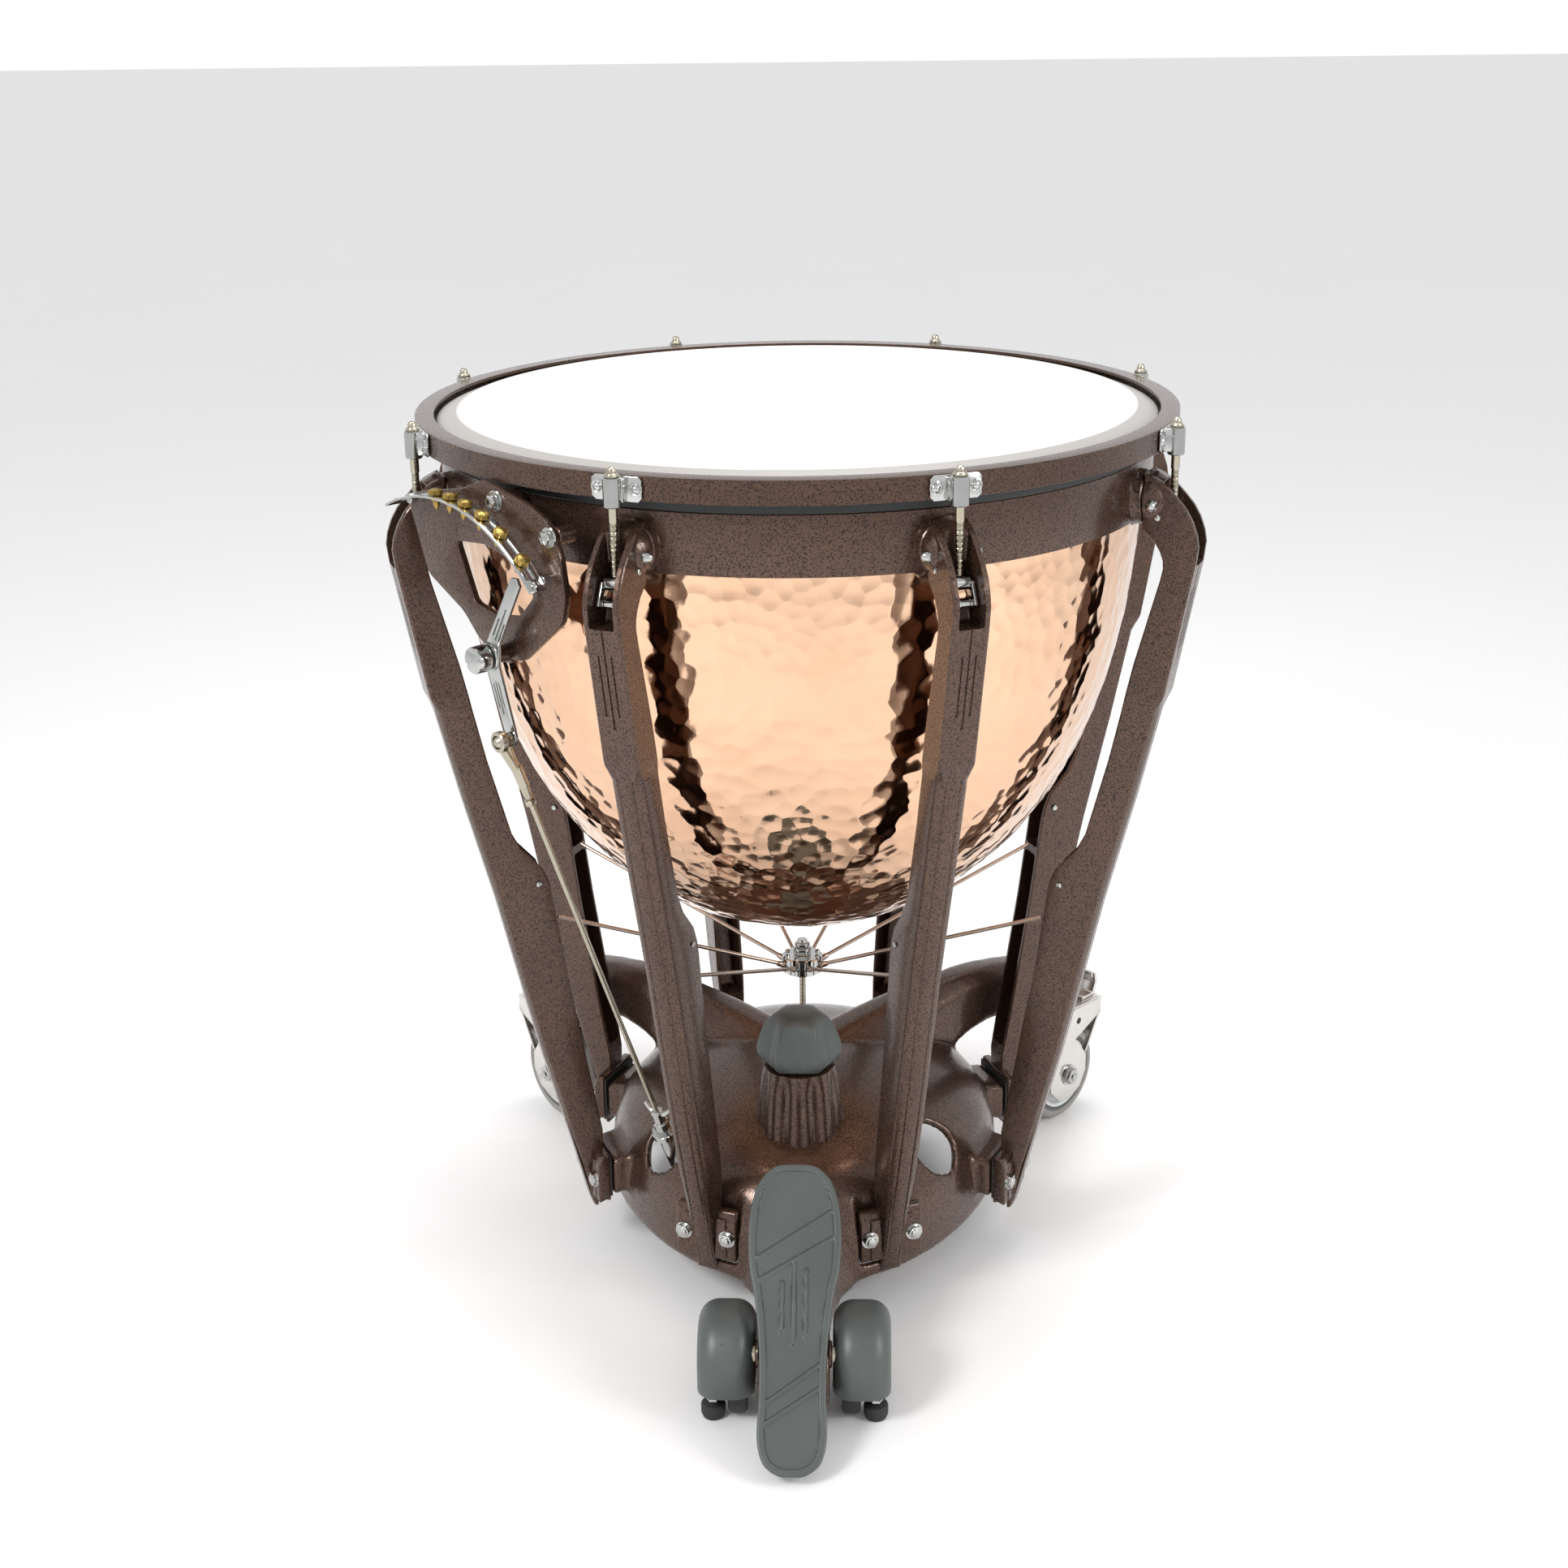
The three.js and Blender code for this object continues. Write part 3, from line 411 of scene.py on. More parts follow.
def floor_finish():
    mat = bpy.data.materials.new("painted_floor")
    mat.use_nodes = True
    tree = mat.node_tree
    shader = tree.nodes["Principled BSDF"]
    shader.inputs["Roughness"].default_value = 0.6
    spot = add(tree, "ShaderNodeTexCoord")
    cloud = add(tree, "ShaderNodeTexNoise", {"Vector": spot.outputs["Object"], "Scale": 1.5})
    tone = add(tree, "ShaderNodeMix", {"Factor": cloud.outputs["Fac"], 6: hex_colour(0xF8F8F8),
                                       7: hex_colour(0xFBFBFB)},
               data_type="RGBA")
    tree.links.new(tone.outputs[2], shader.inputs["Base Color"])
    return mat


floor_half = 30.0
floor_mesh = bpy.data.meshes.new("floor")
floor_mesh.from_pydata([(-floor_half, -floor_half, 0), (floor_half, -floor_half, 0),
                        (floor_half, floor_half, 0),
                        (-floor_half, floor_half, 0)], [], [(0, 1, 2, 3)])
floor = bpy.data.objects.new("floor", floor_mesh)
floor_mesh.materials.append(floor_finish())
scene.collection.objects.link(floor)

# %% [markdown]
# ## Finishes
# Each finish starts from what the real material is and how its surface was made.
# A pattern's scale comes from a real size in millimetres and is read from Object coordinates, in metres.


def finish_of(name, slot, metallic, roughness, **extra):
    """A new material with its shader and its Object coordinates."""
    mat = bpy.data.materials.new(name)
    mat.use_nodes = True
    shader = mat.node_tree.nodes["Principled BSDF"]
    shader.inputs["Metallic"].default_value = metallic
    shader.inputs["Roughness"].default_value = roughness
    for key, value in extra.items():
        shader.inputs[key.replace("_", " ")].default_value = value
    place = add(mat.node_tree, "ShaderNodeTexCoord").outputs["Object"]
    return mat, mat.node_tree, shader, place


def mix_of(tree, factor, low, high):
    return add(tree, "ShaderNodeMix", {"Factor": factor, 6: hex_colour(low), 7: hex_colour(high)},
               data_type="RGBA").outputs[2]


def raise_surface(tree, shader, height, distance, strength=1.0):
    bump = add(tree, "ShaderNodeBump", {"Height": height, "Distance": distance, "Strength": strength})
    tree.links.new(bump.outputs[0], shader.inputs["Normal"])


# %% [markdown]
# ### Hammertone enamel
# Baked hammertone enamel has metal flakes that gather in pale islands, with dark pigment between them.
# The wet film stays slightly hilly, so highlights break up like orange peel.

# %% Hammertone enamel
FLECK_MM = 1.5
hammertone, tree, shader, place = finish_of("hammertone_enamel", "hammertone", 0.6, 0.28, Coat_Weight=0.3,
                                            Coat_Roughness=0.12)
warp = add(tree, "ShaderNodeTexNoise", {"Vector": place, "Scale": 1000 / 3.5, "Detail": 2.0})
shift = add(tree, "ShaderNodeVectorMath", {0: warp.outputs["Color"], 1: (0.001, 0.001, 0.001), 2: place},
            operation="MULTIPLY_ADD")
fleck = add(tree, "ShaderNodeTexNoise", {"Vector": shift.outputs[0], "Scale": 1000 / FLECK_MM,
                                         "Detail": 1.5,
                                         "Roughness": 0.55})
edge = add(tree, "ShaderNodeMapRange", {"Value": fleck.outputs["Fac"], "From Min": 0.39, "From Max": 0.50})
cloud = add(tree, "ShaderNodeTexNoise", {"Vector": place, "Scale": 1000 / 90.0, "Detail": 2.0})
tone = mix_of(tree, cloud.outputs["Fac"], 0x4F3A30, 0x604739)
dark = add(tree, "ShaderNodeMix", {"Factor": edge.outputs[0], 6: hex_colour(0x241914), 7: tone},
           data_type="RGBA")
tree.links.new(dark.outputs[2], shader.inputs["Base Color"])
rough = add(tree, "ShaderNodeMapRange", {"Value": edge.outputs[0], "To Min": 0.4, "To Max": 0.25})
tree.links.new(rough.outputs[0], shader.inputs["Roughness"])
peel = add(tree, "ShaderNodeTexNoise", {"Vector": place, "Scale": 1000 / 6.0, "Detail": 1.0})
hills = add(tree, "ShaderNodeMath", {0: fleck.outputs["Fac"], 1: 0.45, 2: peel.outputs["Fac"]},
            operation="MULTIPLY_ADD")
raise_surface(tree, shader, hills.outputs[0], 0.0004, 0.5)

# %% [markdown]
# ### Hammered copper
# The bowl is spun copper, hammered all over with a ball-faced hammer and then polished and lacquered.
# The marks are real shape in the mesh, and the same pattern in the finish sharpens the ridges between them.

# %% Hammered copper
DIMPLE_MM = 15.0
copper, tree, shader, place = finish_of("polished_copper", "copper", 1.0, 0.1, Coat_Weight=0.2,
                                        Coat_Roughness=0.05)
local = add(tree, "ShaderNodeMapping", {"Vector": place, "Location": (0, -AXIS_Y * 1000 / DIMPLE_MM, 0),
                                        "Scale": (1000 / DIMPLE_MM,) * 3})
marks = add(tree, "ShaderNodeTexVoronoi", {"Vector": local.outputs[0], "Scale": 1.0, "Smoothness": 0.12},
            feature="SMOOTH_F1")
hollow = add(tree, "ShaderNodeMath", {0: marks.outputs["Distance"], 1: 2.0}, operation="POWER")
haze = add(tree, "ShaderNodeTexNoise", {"Vector": place, "Scale": 1000 / 60.0, "Detail": 3.0})
tree.links.new(mix_of(tree, haze.outputs["Fac"], 0xDCB08E, 0xE8C2A4), shader.inputs["Base Color"])
rough = add(tree, "ShaderNodeMapRange", {"Value": haze.outputs["Fac"], "To Min": 0.05, "To Max": 0.11})
tree.links.new(rough.outputs[0], shader.inputs["Roughness"])
raise_surface(tree, shader, hollow.outputs[0], 0.0009, 0.8)


# %% [markdown]
# ### Plated, drawn and turned metals
# Nickel and zinc plating follow the polished steel below, so they are smooth with only a faint waviness.
# Drawn rods carry fine lines along their length, and turned brass has fine rings from the lathe.

# %% Bright metals
def bright_metal(name, slot, low, high, roughness, grain_mm, grain_depth_mm, stretch=(1, 1, 1)):
    mat, tree, shader, place = finish_of(name, slot, 1.0, roughness)
    spread = add(tree, "ShaderNodeMapping", {"Vector": place,
                                             "Scale": tuple(1000 / grain_mm / s for s in stretch)})
    grain = add(tree, "ShaderNodeTexNoise", {"Vector": spread.outputs[0], "Scale": 1.0, "Detail": 3.0})
    tree.links.new(mix_of(tree, grain.outputs["Fac"], low, high), shader.inputs["Base Color"])
    vary = add(tree, "ShaderNodeMapRange", {"Value": grain.outputs["Fac"], "To Min": roughness * 0.7,
                                            "To Max": roughness * 1.3})
    tree.links.new(vary.outputs[0], shader.inputs["Roughness"])
    raise_surface(tree, shader, grain.outputs["Fac"], grain_depth_mm * MM, 0.5)
    return mat


plating = bright_metal("bright_plating", "plated", 0xAFB0AE, 0xC6C7C5, 0.12, 14.0, 0.05)
nickel = bright_metal("drawn_nickel_rod", "plated", 0xA29A88, 0xBBB4A2, 0.2, 1.2, 0.03, (1, 1, 8))
spoke_metal = bright_metal("bronze_spoke_wire", "plated", 0xA8968A, 0xC4B3A6, 0.25, 1.2, 0.03, (6, 6, 1))
steel = bright_metal("drawn_steel_rod", "steel", 0xA39B8A, 0xBFB8A8, 0.22, 1.2, 0.03, (1, 1, 8))
stainless = bright_metal("pressed_stainless", "plated", 0xD0CDC8, 0xE0DDD8, 0.22, 8.0, 0.04)
brass = bright_metal("turned_brass", "brass", 0x94793A, 0xB0965A, 0.3, 1.0, 0.03, (8, 8, 1))


# %% [markdown]
# ### Paint, rubber, plastic and film
# The castings at the foot have a dark grey-green texture paint with a grit under 1 mm.
# Rubber and plastic are matt with a faint mould grain, and the head is a clear film with a milky coat in its middle.

# %% Grainy finishes
def grainy(name, slot, low, high, roughness, grit_mm, depth_mm, metallic=0.0, speck=0.5, **extra):
    mat, tree, shader, place = finish_of(name, slot, metallic, roughness, **extra)
    grit = add(tree, "ShaderNodeTexNoise", {"Vector": place, "Scale": 1000 / grit_mm, "Detail": 2.0})
    cloud = add(tree, "ShaderNodeTexNoise", {"Vector": place, "Scale": 1000 / 70.0, "Detail": 2.0})
    level = add(tree, "ShaderNodeMix", {"Factor": speck, 2: cloud.outputs["Fac"], 3: grit.outputs["Fac"]},
                data_type="FLOAT")
    tree.links.new(mix_of(tree, level.outputs[0], low, high), shader.inputs["Base Color"])
    raise_surface(tree, shader, grit.outputs["Fac"], depth_mm * MM, 0.6)
    return mat


texture_paint = grainy("texture_paint", "grey_casting", 0x3F4443, 0x646A68, 0.4, 0.8, 0.2, 0.3)
rubber = grainy("moulded_rubber", "black_rubber", 0x1C1D1D, 0x2A2B2B, 0.6, 1.5, 0.1)
tread = grainy("grey_tread_rubber", "grey_tyre", 0x85827D, 0x989590, 0.6, 2.0, 0.08)
groove_rubber = grainy("dark_tyre_flank", "grey_tyre", 0x4C4E4E, 0x626463, 0.6, 2.0, 0.08)
wheel_plastic = grainy("pale_wheel_plastic", "grey_tyre", 0xC6C9C8, 0xD6D9D8, 0.4, 3.0, 0.05)
black_finish = grainy("black_band_and_washer", "black_band", 0x17191A, 0x232627, 0.4, 4.0, 0.05)

# %% Head film
HEAD_FLAT_MM = 326.0
film, tree, shader, place = finish_of("coated_head_film", "film", 0.0, 0.42, IOR=1.6)
middle = add(tree, "ShaderNodeMapping", {"Vector": place, "Location": (0, -AXIS_Y, 0)})
flat = add(tree, "ShaderNodeVectorMath", {0: middle.outputs[0], 1: (1, 1, 0)}, operation="MULTIPLY")
radius = add(tree, "ShaderNodeVectorMath", {0: flat.outputs[0]}, operation="LENGTH")
collar = add(tree, "ShaderNodeMapRange", {"Value": radius.outputs["Value"],
                                          "From Min": (HEAD_FLAT_MM - 1.5) * MM,
                                          "From Max": (HEAD_FLAT_MM + 1.0) * MM})
mist = add(tree, "ShaderNodeTexNoise", {"Vector": place, "Scale": 1000 / 40.0, "Detail": 4.0})
milky = mix_of(tree, mist.outputs["Fac"], 0xF1EFEC, 0xF8F7F5)
coat = add(tree, "ShaderNodeMix", {"Factor": collar.outputs[0], 6: milky, 7: hex_colour(0xA29E9A)},
           data_type="RGBA")
tree.links.new(coat.outputs[2], shader.inputs["Base Color"])
raise_surface(tree, shader, mist.outputs["Fac"], 0.0001, 0.4)

# %% [markdown]
# ## Bowl
# The bowl is a paraboloid kettle. Its profile is turned about the axis, and a node tree presses hammer marks into it.
# The tree measures each point's distance to the nearest mark's centre and lets the copper sink between the ridges.

# %% Hammer marks
hammer_tree, start, HAMMER = new_tree("Hammer marks", [
    ("Mark size", "NodeSocketFloat"), ("Depth", "NodeSocketFloat"), ("Finish", "NodeSocketMaterial")])
spot = add(hammer_tree, "GeometryNodeInputPosition")
one = add(hammer_tree, "ShaderNodeMath", {0: 1.0, 1: start.outputs["Mark size"]}, operation="DIVIDE")
cells = add(hammer_tree, "ShaderNodeTexVoronoi", {"Vector": spot.outputs[0], "Scale": one.outputs[0],
                                                  "Smoothness": 0.25}, feature="SMOOTH_F1")
cup = add(hammer_tree, "ShaderNodeMath", {0: cells.outputs["Distance"], 1: 2.0}, operation="POWER")
lift = add(hammer_tree, "ShaderNodeMath", {0: cup.outputs[0], 1: start.outputs["Depth"]},
           operation="MULTIPLY")
facing = add(hammer_tree, "GeometryNodeInputNormal")
push = add(hammer_tree, "ShaderNodeVectorMath", {0: facing.outputs[0], 3: lift.outputs[0]},
           operation="SCALE")
pressed = add(hammer_tree, "GeometryNodeSetPosition", {"Geometry": start.outputs["Geometry"],
                                                       "Offset": push.outputs[0]})
end_tree(hammer_tree, start, pressed.outputs[0])

# %% Bowl
BOWL_TOP, BOWL_BOTTOM, BOWL_RADIUS = 846.0, 353.6, 336.2
CURVE_TOP, CURVE_HEIGHT, CURVE_RADIUS = 956.0, 603.0, 337.0
MARK_DEPTH = 1.2
BOWL_STEPS, BOWL_SEGMENTS = 168, 512
outside = []
for i in range(BOWL_STEPS):
    s = i / (BOWL_STEPS - 1)
    z = BOWL_BOTTOM + (BOWL_TOP - BOWL_BOTTOM) * (1 - math.cos(s * math.pi / 2))
    fall = min(1.0, max(0.0, (CURVE_TOP - z) / CURVE_HEIGHT))
    r = min(BOWL_RADIUS, CURVE_RADIUS * math.sqrt(max(0.0, 1 - fall ** 3)))
    outside.append((0.0 if i == 0 else r, z))
verts, faces = [(0, 0, BOWL_BOTTOM)], []
for r, z in outside[1:]:
    for j in range(BOWL_SEGMENTS):
        t = 2 * math.pi * j / BOWL_SEGMENTS
        verts.append((r * math.cos(t), r * math.sin(t), z))
for j in range(BOWL_SEGMENTS):
    faces.append((0, 1 + (j + 1) % BOWL_SEGMENTS, 1 + j))
for i in range(len(outside) - 2):
    for j in range(BOWL_SEGMENTS):
        a, b = 1 + i * BOWL_SEGMENTS, 1 + (i + 1) * BOWL_SEGMENTS
        k = (j + 1) % BOWL_SEGMENTS
        faces.append((a + j, a + k, b + k, b + j))
shell = solid(verts, faces)
run_tree(shell, hammer_tree, HAMMER, Mark_size=DIMPLE_MM, Depth=MARK_DEPTH, Finish=copper)
finished(shell, "kettle_bowl", copper, "frame", ["bowl"], sharp=80)

# %% [markdown]
# ## Ring, band and head
# A painted ring with a round boss at each station stiffens the kettle and carries it on the struts.
# A black band is drawn round the top of the ring, below the flesh hoop, and the head is stretched by the counterhoop.

# %% Ring
RING_OUT, RING_IN, RING_LOW, RING_HIGH = 343.0, 337.6, 793.0, 848.0
ring = turned([(RING_IN, RING_LOW), (RING_OUT - 1.2, RING_LOW), (RING_OUT - 0.3, RING_LOW + 0.4),
               (RING_OUT, RING_LOW + 1.4),
               (RING_OUT, RING_HIGH - 1), (RING_OUT - 1, RING_HIGH), (RING_IN, RING_HIGH)], 192)
finished(ring, "kettle_ring", hammertone, "frame", ["bowl_ring"])
BOSS_Z, BOSS_R = 815.0, 25.0
boss = spindle(at(0, 340, BOSS_Z), at(0, 351.6, BOSS_Z), [(0, 27.5), (2.5, 26.0), (6, 25.2),
        (10.4, BOSS_R), (11.6, 24)], 64)
finished(all_round(boss, hammertone), "ring_bosses", hammertone, "frame")

# %% Black band and head
# A dark band, 9 mm tall, sits on top of the painted ring just below the flesh hoop.
strip = turned([(337.6, 848.4), (344.2, 848.4), (344.6, 849), (344.6, 856.8), (344.2, 857.4),
                (337.6, 857.4)], 192)
finished(strip, "black_band_under_hoop", black_finish, "frame", ["bearing_band"])
head = turned([(0, 881.2), (326, 881.2), (327.5, 880.9), (344.4, 874.5), (344.4, 863), (345.3, 863),
               (345.3, 875.1),
               (328, 881.8), (326.4, 882), (0, 882)], 192)
finished(head, "head_film", film, "frame", ["drum_head"], sharp=50)
flesh = turned([(346.2, 861.2), (355.2, 861.2), (355.4, 861.6), (355.4, 873), (355, 873.4),
                (346.4, 873.4), (346.2, 873)], 128)
finished(flesh, "flesh_hoop_channel", steel, "hoop", ["flesh_hoop"])

# %% [markdown]
# ## Counterhoop and its lugs
# The counterhoop is rolled steel with a flange over the flesh hoop. A pressed lug is riveted on at each station.
# Each lug is a folded plate with two domed rivets and a tube that the tension rod passes through.

# %% Counterhoop
hoop = turned([(348, 878.6), (361.5, 878.6), (362.2, 878), (362.2, 860.3), (362.5, 860), (365.7, 860),
               (366, 860.4),
               (366, 880.4), (365.2, 881.3), (364.4, 881.5), (348.5, 881.5), (348, 881.1)], 192)
finished(hoop, "counterhoop_ring", hammertone, "hoop", ["counterhoop"])

# %% Lugs
LUG_HALF, LUG_LOW, LUG_HIGH = 23.5, 859.5, 881.0
RIVET_SPREAD, RIVET_Z = 18, 870.5
ROD_CIRCLE = 376.0


def stand(x, y, z):
    """A point at the front station: x across, y outwards, z up."""
    return Vector((x, -y, z))


def front_prism(outline, low, high):
    """An outline of (across, outwards) points pushed up from low to high at the front station."""
    return rows([[stand(x, y, low) for x, y in outline], [stand(x, y, high) for x, y in outline]])


plate = prism([(-LUG_HALF, 863), (-20, LUG_LOW), (20, LUG_LOW), (LUG_HALF, 863), (LUG_HALF, 878),
               (20, LUG_HIGH),
               (-20, LUG_HIGH), (-LUG_HALF, 878)], 366.3, 368.3)
moved(plate, Matrix(((1, 0, 0, 0), (0, 0, -1, 0), (0, 1, 0, 0), (0, 0, 0, 1))))
rounded(plate, 0.5, 2)
fold = rounded(front_prism([(-10, 367.5), (10, 367.5), (7.4, 374.5), (-7.4, 374.5)], LUG_LOW - 0.5,
                           LUG_HIGH - 1), 1.2, 3)
tube = spindle(stand(0, ROD_CIRCLE, 855.8), stand(0, ROD_CIRCLE, 881.0),
               [(0, 7.0), (0.8, 7.9), (24.4, 7.9), (25.2, 7.2)], 40)
rivets = [spindle(stand(side * RIVET_SPREAD, 367.9, RIVET_Z), stand(side * RIVET_SPREAD, 372, RIVET_Z),
                  [(0, 6.2), (0.6, 6.0), (0.9, 5.0), (0.5, 4.2), (1.4, 3.6), (2.4, 2.4), (2.9, 0.6)],
                  32) for side in (-1, 1)]
lug = joined(plate, fold, tube, *rivets)
finished(all_round(lug, plating), "rod_lugs", plating, "hoop")

# %% [markdown]
# ## Tension rods
# Each rod has a round key head on a smooth shank, and below it a rolled 5/16 inch thread, 18 turns an inch.
# The thread is a helix from a node tree, wound on the core; its pitch is the real one, 1.41 mm.

# %% Thread tree
thread_tree, start, THREAD = new_tree("Rolled thread", [
    ("Pitch", "NodeSocketFloat"), ("Turns", "NodeSocketInt"), ("Core radius", "NodeSocketFloat"),
    ("Finish", "NodeSocketMaterial")])
turns = add(thread_tree, "ShaderNodeMath", {0: start.outputs["Pitch"], 1: start.outputs["Turns"]},
            operation="MULTIPLY")
helix = add(thread_tree, "GeometryNodeCurveSpiral", {"Resolution": 14, "Rotations": start.outputs["Turns"],
                                                     "Start Radius": start.outputs["Core radius"],
                                                     "End Radius": start.outputs["Core radius"],
                                                     "Height": turns.outputs[0]})
wire = add(thread_tree, "GeometryNodeCurvePrimitiveCircle", {"Resolution": 4, "Radius": 0.5})
swept_thread = add(thread_tree, "GeometryNodeCurveToMesh", {"Curve": helix.outputs[0],
        "Profile Curve": wire.outputs[0],
                                                            "Fill Caps": True})
both = add(thread_tree, "GeometryNodeJoinGeometry")
thread_tree.links.new(swept_thread.outputs[0], both.inputs[0])
end_tree(thread_tree, start, both.outputs[0])


def threaded(pitch, number, core_radius, foot, finish):
    """A helical ridge that climbs from its foot; the tree replaces the seed triangle it starts from."""
    seed = solid([(0, 0, 0), (1, 0, 0), (0, 1, 0)], [(0, 1, 2)])
    ridge = run_tree(seed, thread_tree, THREAD, Pitch=pitch, Turns=number, Core_radius=core_radius,
                     Finish=finish)
    return moved(ridge, Matrix.Translation(foot))


# %% Tension rods
THREAD_LOW, THREAD_PITCH, THREAD_TURNS, THREAD_CORE = 797.2, 1.411, 31, 3.2
thread = threaded(THREAD_PITCH, THREAD_TURNS, THREAD_CORE, (0, 0, THREAD_LOW), nickel)
core = spindle((0, 0, 796.6), (0, 0, 843), [(0, 2.6), (1, 3.25), (44, 3.25), (46.4, 3.2)], 24)
shank = spindle((0, 0, 842), (0, 0, 881.2), [(0, 3.4), (1.6, 4.0), (14, 4.0), (15, 4.3), (39.2, 4.1)], 32)
collar_ring = spindle((0, 0, 881.2), (0, 0, 884.6), [(0, 6.2), (0.4, 6.6), (1.6, 6.6), (2.0, 5.6),
                                                     (3.0, 5.2), (3.4, 4.6)], 32)
key = spindle((0, 0, 884), (0, 0, 890), [(0, 3.9), (3.6, 3.9), (5.0, 3.2), (5.8, 1.8), (6.0, 0.4)], 32)
pattern = joined(thread, core, shank, collar_ring, key)
for i, angle in enumerate(STATION_ANGLES, 1):
    spot = at(angle, ROD_CIRCLE, 0)
    finished(moved(copied(pattern), Matrix.Translation(spot)), f"rod_{i}", nickel, f"tension_rod_{i}",
             [f"tension_rod_{i}"])
bpy.data.objects.remove(pattern)

# %% [markdown]
# ## Struts
# Each strut is an open-backed casting, bent at the knee and curved over at the head to meet the ring.
# Level sections joined from foot to head give it the chamfered lower front with its rib and the broad upper face.

# %% Strut outline
STRUT_FRONT = [(240, 52), (244, 66), (257, 120), (285, 231), (299, 293), (324, 408), (352, 520),
               (373, 612), (375.5, 620),
               (379.5, 630), (403, 757), (405, 775), (403, 786), (398.5, 798), (392, 809), (384, 818),
               (374, 828), (364, 835),
               (352, 840)]
STRUT_BACK = [(236, 56), (229, 84), (229, 140), (240, 206), (258, 320), (270, 412), (273, 426),
              (279, 441), (299, 464),
              (308, 482), (328, 560), (349, 658), (371, 742), (373, 752), (372.5, 760), (369.5, 768),
              (364, 777), (352, 788)]
front_by_z = [(z, r) for r, z in STRUT_FRONT]
back_by_z = [(z, r) for r, z in STRUT_BACK] + [(840, 352)]
HALF_WIDTH = 17.5


def strut_section(z):
    """One level section: (across, outwards) points from the back round the front."""
    out, back = between(front_by_z, z), between(back_by_z, z)
    out = max(out, back + 0.6)
    depth = out - back
    lower = min(1.0, max(0.0, (626 - z) / 14)) * min(1.0, max(0.0, (z - 58) / 60) + 0.35)
    edge = min(2.2, depth * 0.3)
    half_width = HALF_WIDTH - 6.0 * min(1.0, max(0.0, (170 - z) / 110)) - 1.6 * lower
    chamfer = edge + min(5.5, depth * 0.25) * lower
    inset = edge + 4.2 * lower
    rib, dip = 5.6, 1.1 * lower
    half = [(rib - 1.0, 0.0), (rib, 0.3 * lower), (rib + 1.1, dip), (rib + 2.4, 0.35 * lower),
            (half_width - inset, 0.5 * lower), (half_width - inset * 0.3, chamfer * 0.45),
            (half_width, chamfer)]
    front = [(x, out - d) for x, d in half]
    right = front + [(half_width, back + edge * 0.6), (half_width - edge * 0.6, back)]
    return [(x, y) for x, y in right] + [(-x, y) for x, y in reversed(right)]


levels = sorted({52.0, 54.0, 58.0, 66.0, 76.0, 90.0, 612.0, 615.0, 618.0, 621.0, 624.0, 627.0, 630.0,
                 838.0, 839.5}
                | {z for r, z in STRUT_FRONT if z < 839} | {z for r, z in STRUT_BACK if z > 56}
                | {100.0 + 20 * i for i in range(26)} | {745.0 + 5 * i for i in range(19)})
body = rows([[stand(x, y, z) for x, y in strut_section(z)] for z in levels])

# %% Strut window, channel and grooves
def side_prism(outline, low, high):
    """An outline of (outwards, z) points pushed across from low to high at the front station."""
    return rows([[stand(low, r, z) for r, z in outline], [stand(high, r, z) for r, z in outline]])


window = rounded(side_prism([(354.5, 774), (371.2, 774), (374.4, 756.6), (420, 756.6), (420, 852),
                             (371, 852), (366, 806),
                             (354.5, 806)], -11.9, 11.9), 2.0, 4, 60)
bays = []
for low, high in ((150, 372), (380, 590), (598, 745)):
    inner = lambda z: between(back_by_z, z) - 20
    outer = lambda z: between(front_by_z, z) - 8
    middle = (low + high) / 2
    bays.append(rounded(side_prism([(outer(low), low), (outer(middle), middle), (outer(high), high),
                                    (inner(high), high),
                                    (inner(low), low)], -12, 12), 4, 3))
slots = []
for across, low, high in ((0, 664, 757), (-6.2, 676, 733), (6.2, 676, 733)):
    points = [(between(front_by_z, z) + d, z) for z, d in ((low, 2), (high, 2), (high, -1.3), (low, -1.3))]
    slots.append(side_prism(points, across - 1.15, across + 1.15))
cut(body, window, *bays, *slots)
knuckle = spindle(stand(0, 352.2, BOSS_Z), stand(0, 374, BOSS_Z), [(0, 23.6), (1.2, 24.8), (6, 24.9),
        (12, 22.5), (18, 18.5),
                                                                   (21.8, 15)], 64)
cut(knuckle, side_prism([(354.5, 770), (420, 770), (420, 860), (371, 860), (366, 806), (354.5, 806)],
                        -11.5, 11.5))

# %% [markdown]
# A wide foot is bolted to a pad on the base with two hexagon bolts and a black shim between them.

# %% Strut foot
PAD_FACE = 225.5
FOOT_BOLT_Z, FOOT_BOLT_SPREAD = 91.0, 23.6
foot = rounded(side_prism([(228, 70), (241, 65), (241, 108), (237, 119), (228, 119)], -33, 33), 2.4, 3)
toe = rounded(rows([[stand(x * k, 226.5 + d, z) for x, d in ((-33, 1.5), (33, 1.5), (22, 16), (-22, 16))]
                    for z, k in ((66, 1.0), (112, 1.0))]), 2.0, 2)
strut = joined(body, knuckle, foot, toe)
finished(all_round(strut, hammertone), "struts", hammertone, "frame", [f"strut_{i}" for i in range(1,
        9)], sharp=28)
shim = rounded(side_prism([(226, 72), (227.8, 71), (227.8, 116), (226, 116)], -32, 32), 0.4, 1)
finished(all_round(shim, rubber), "foot_shims", rubber, "frame")

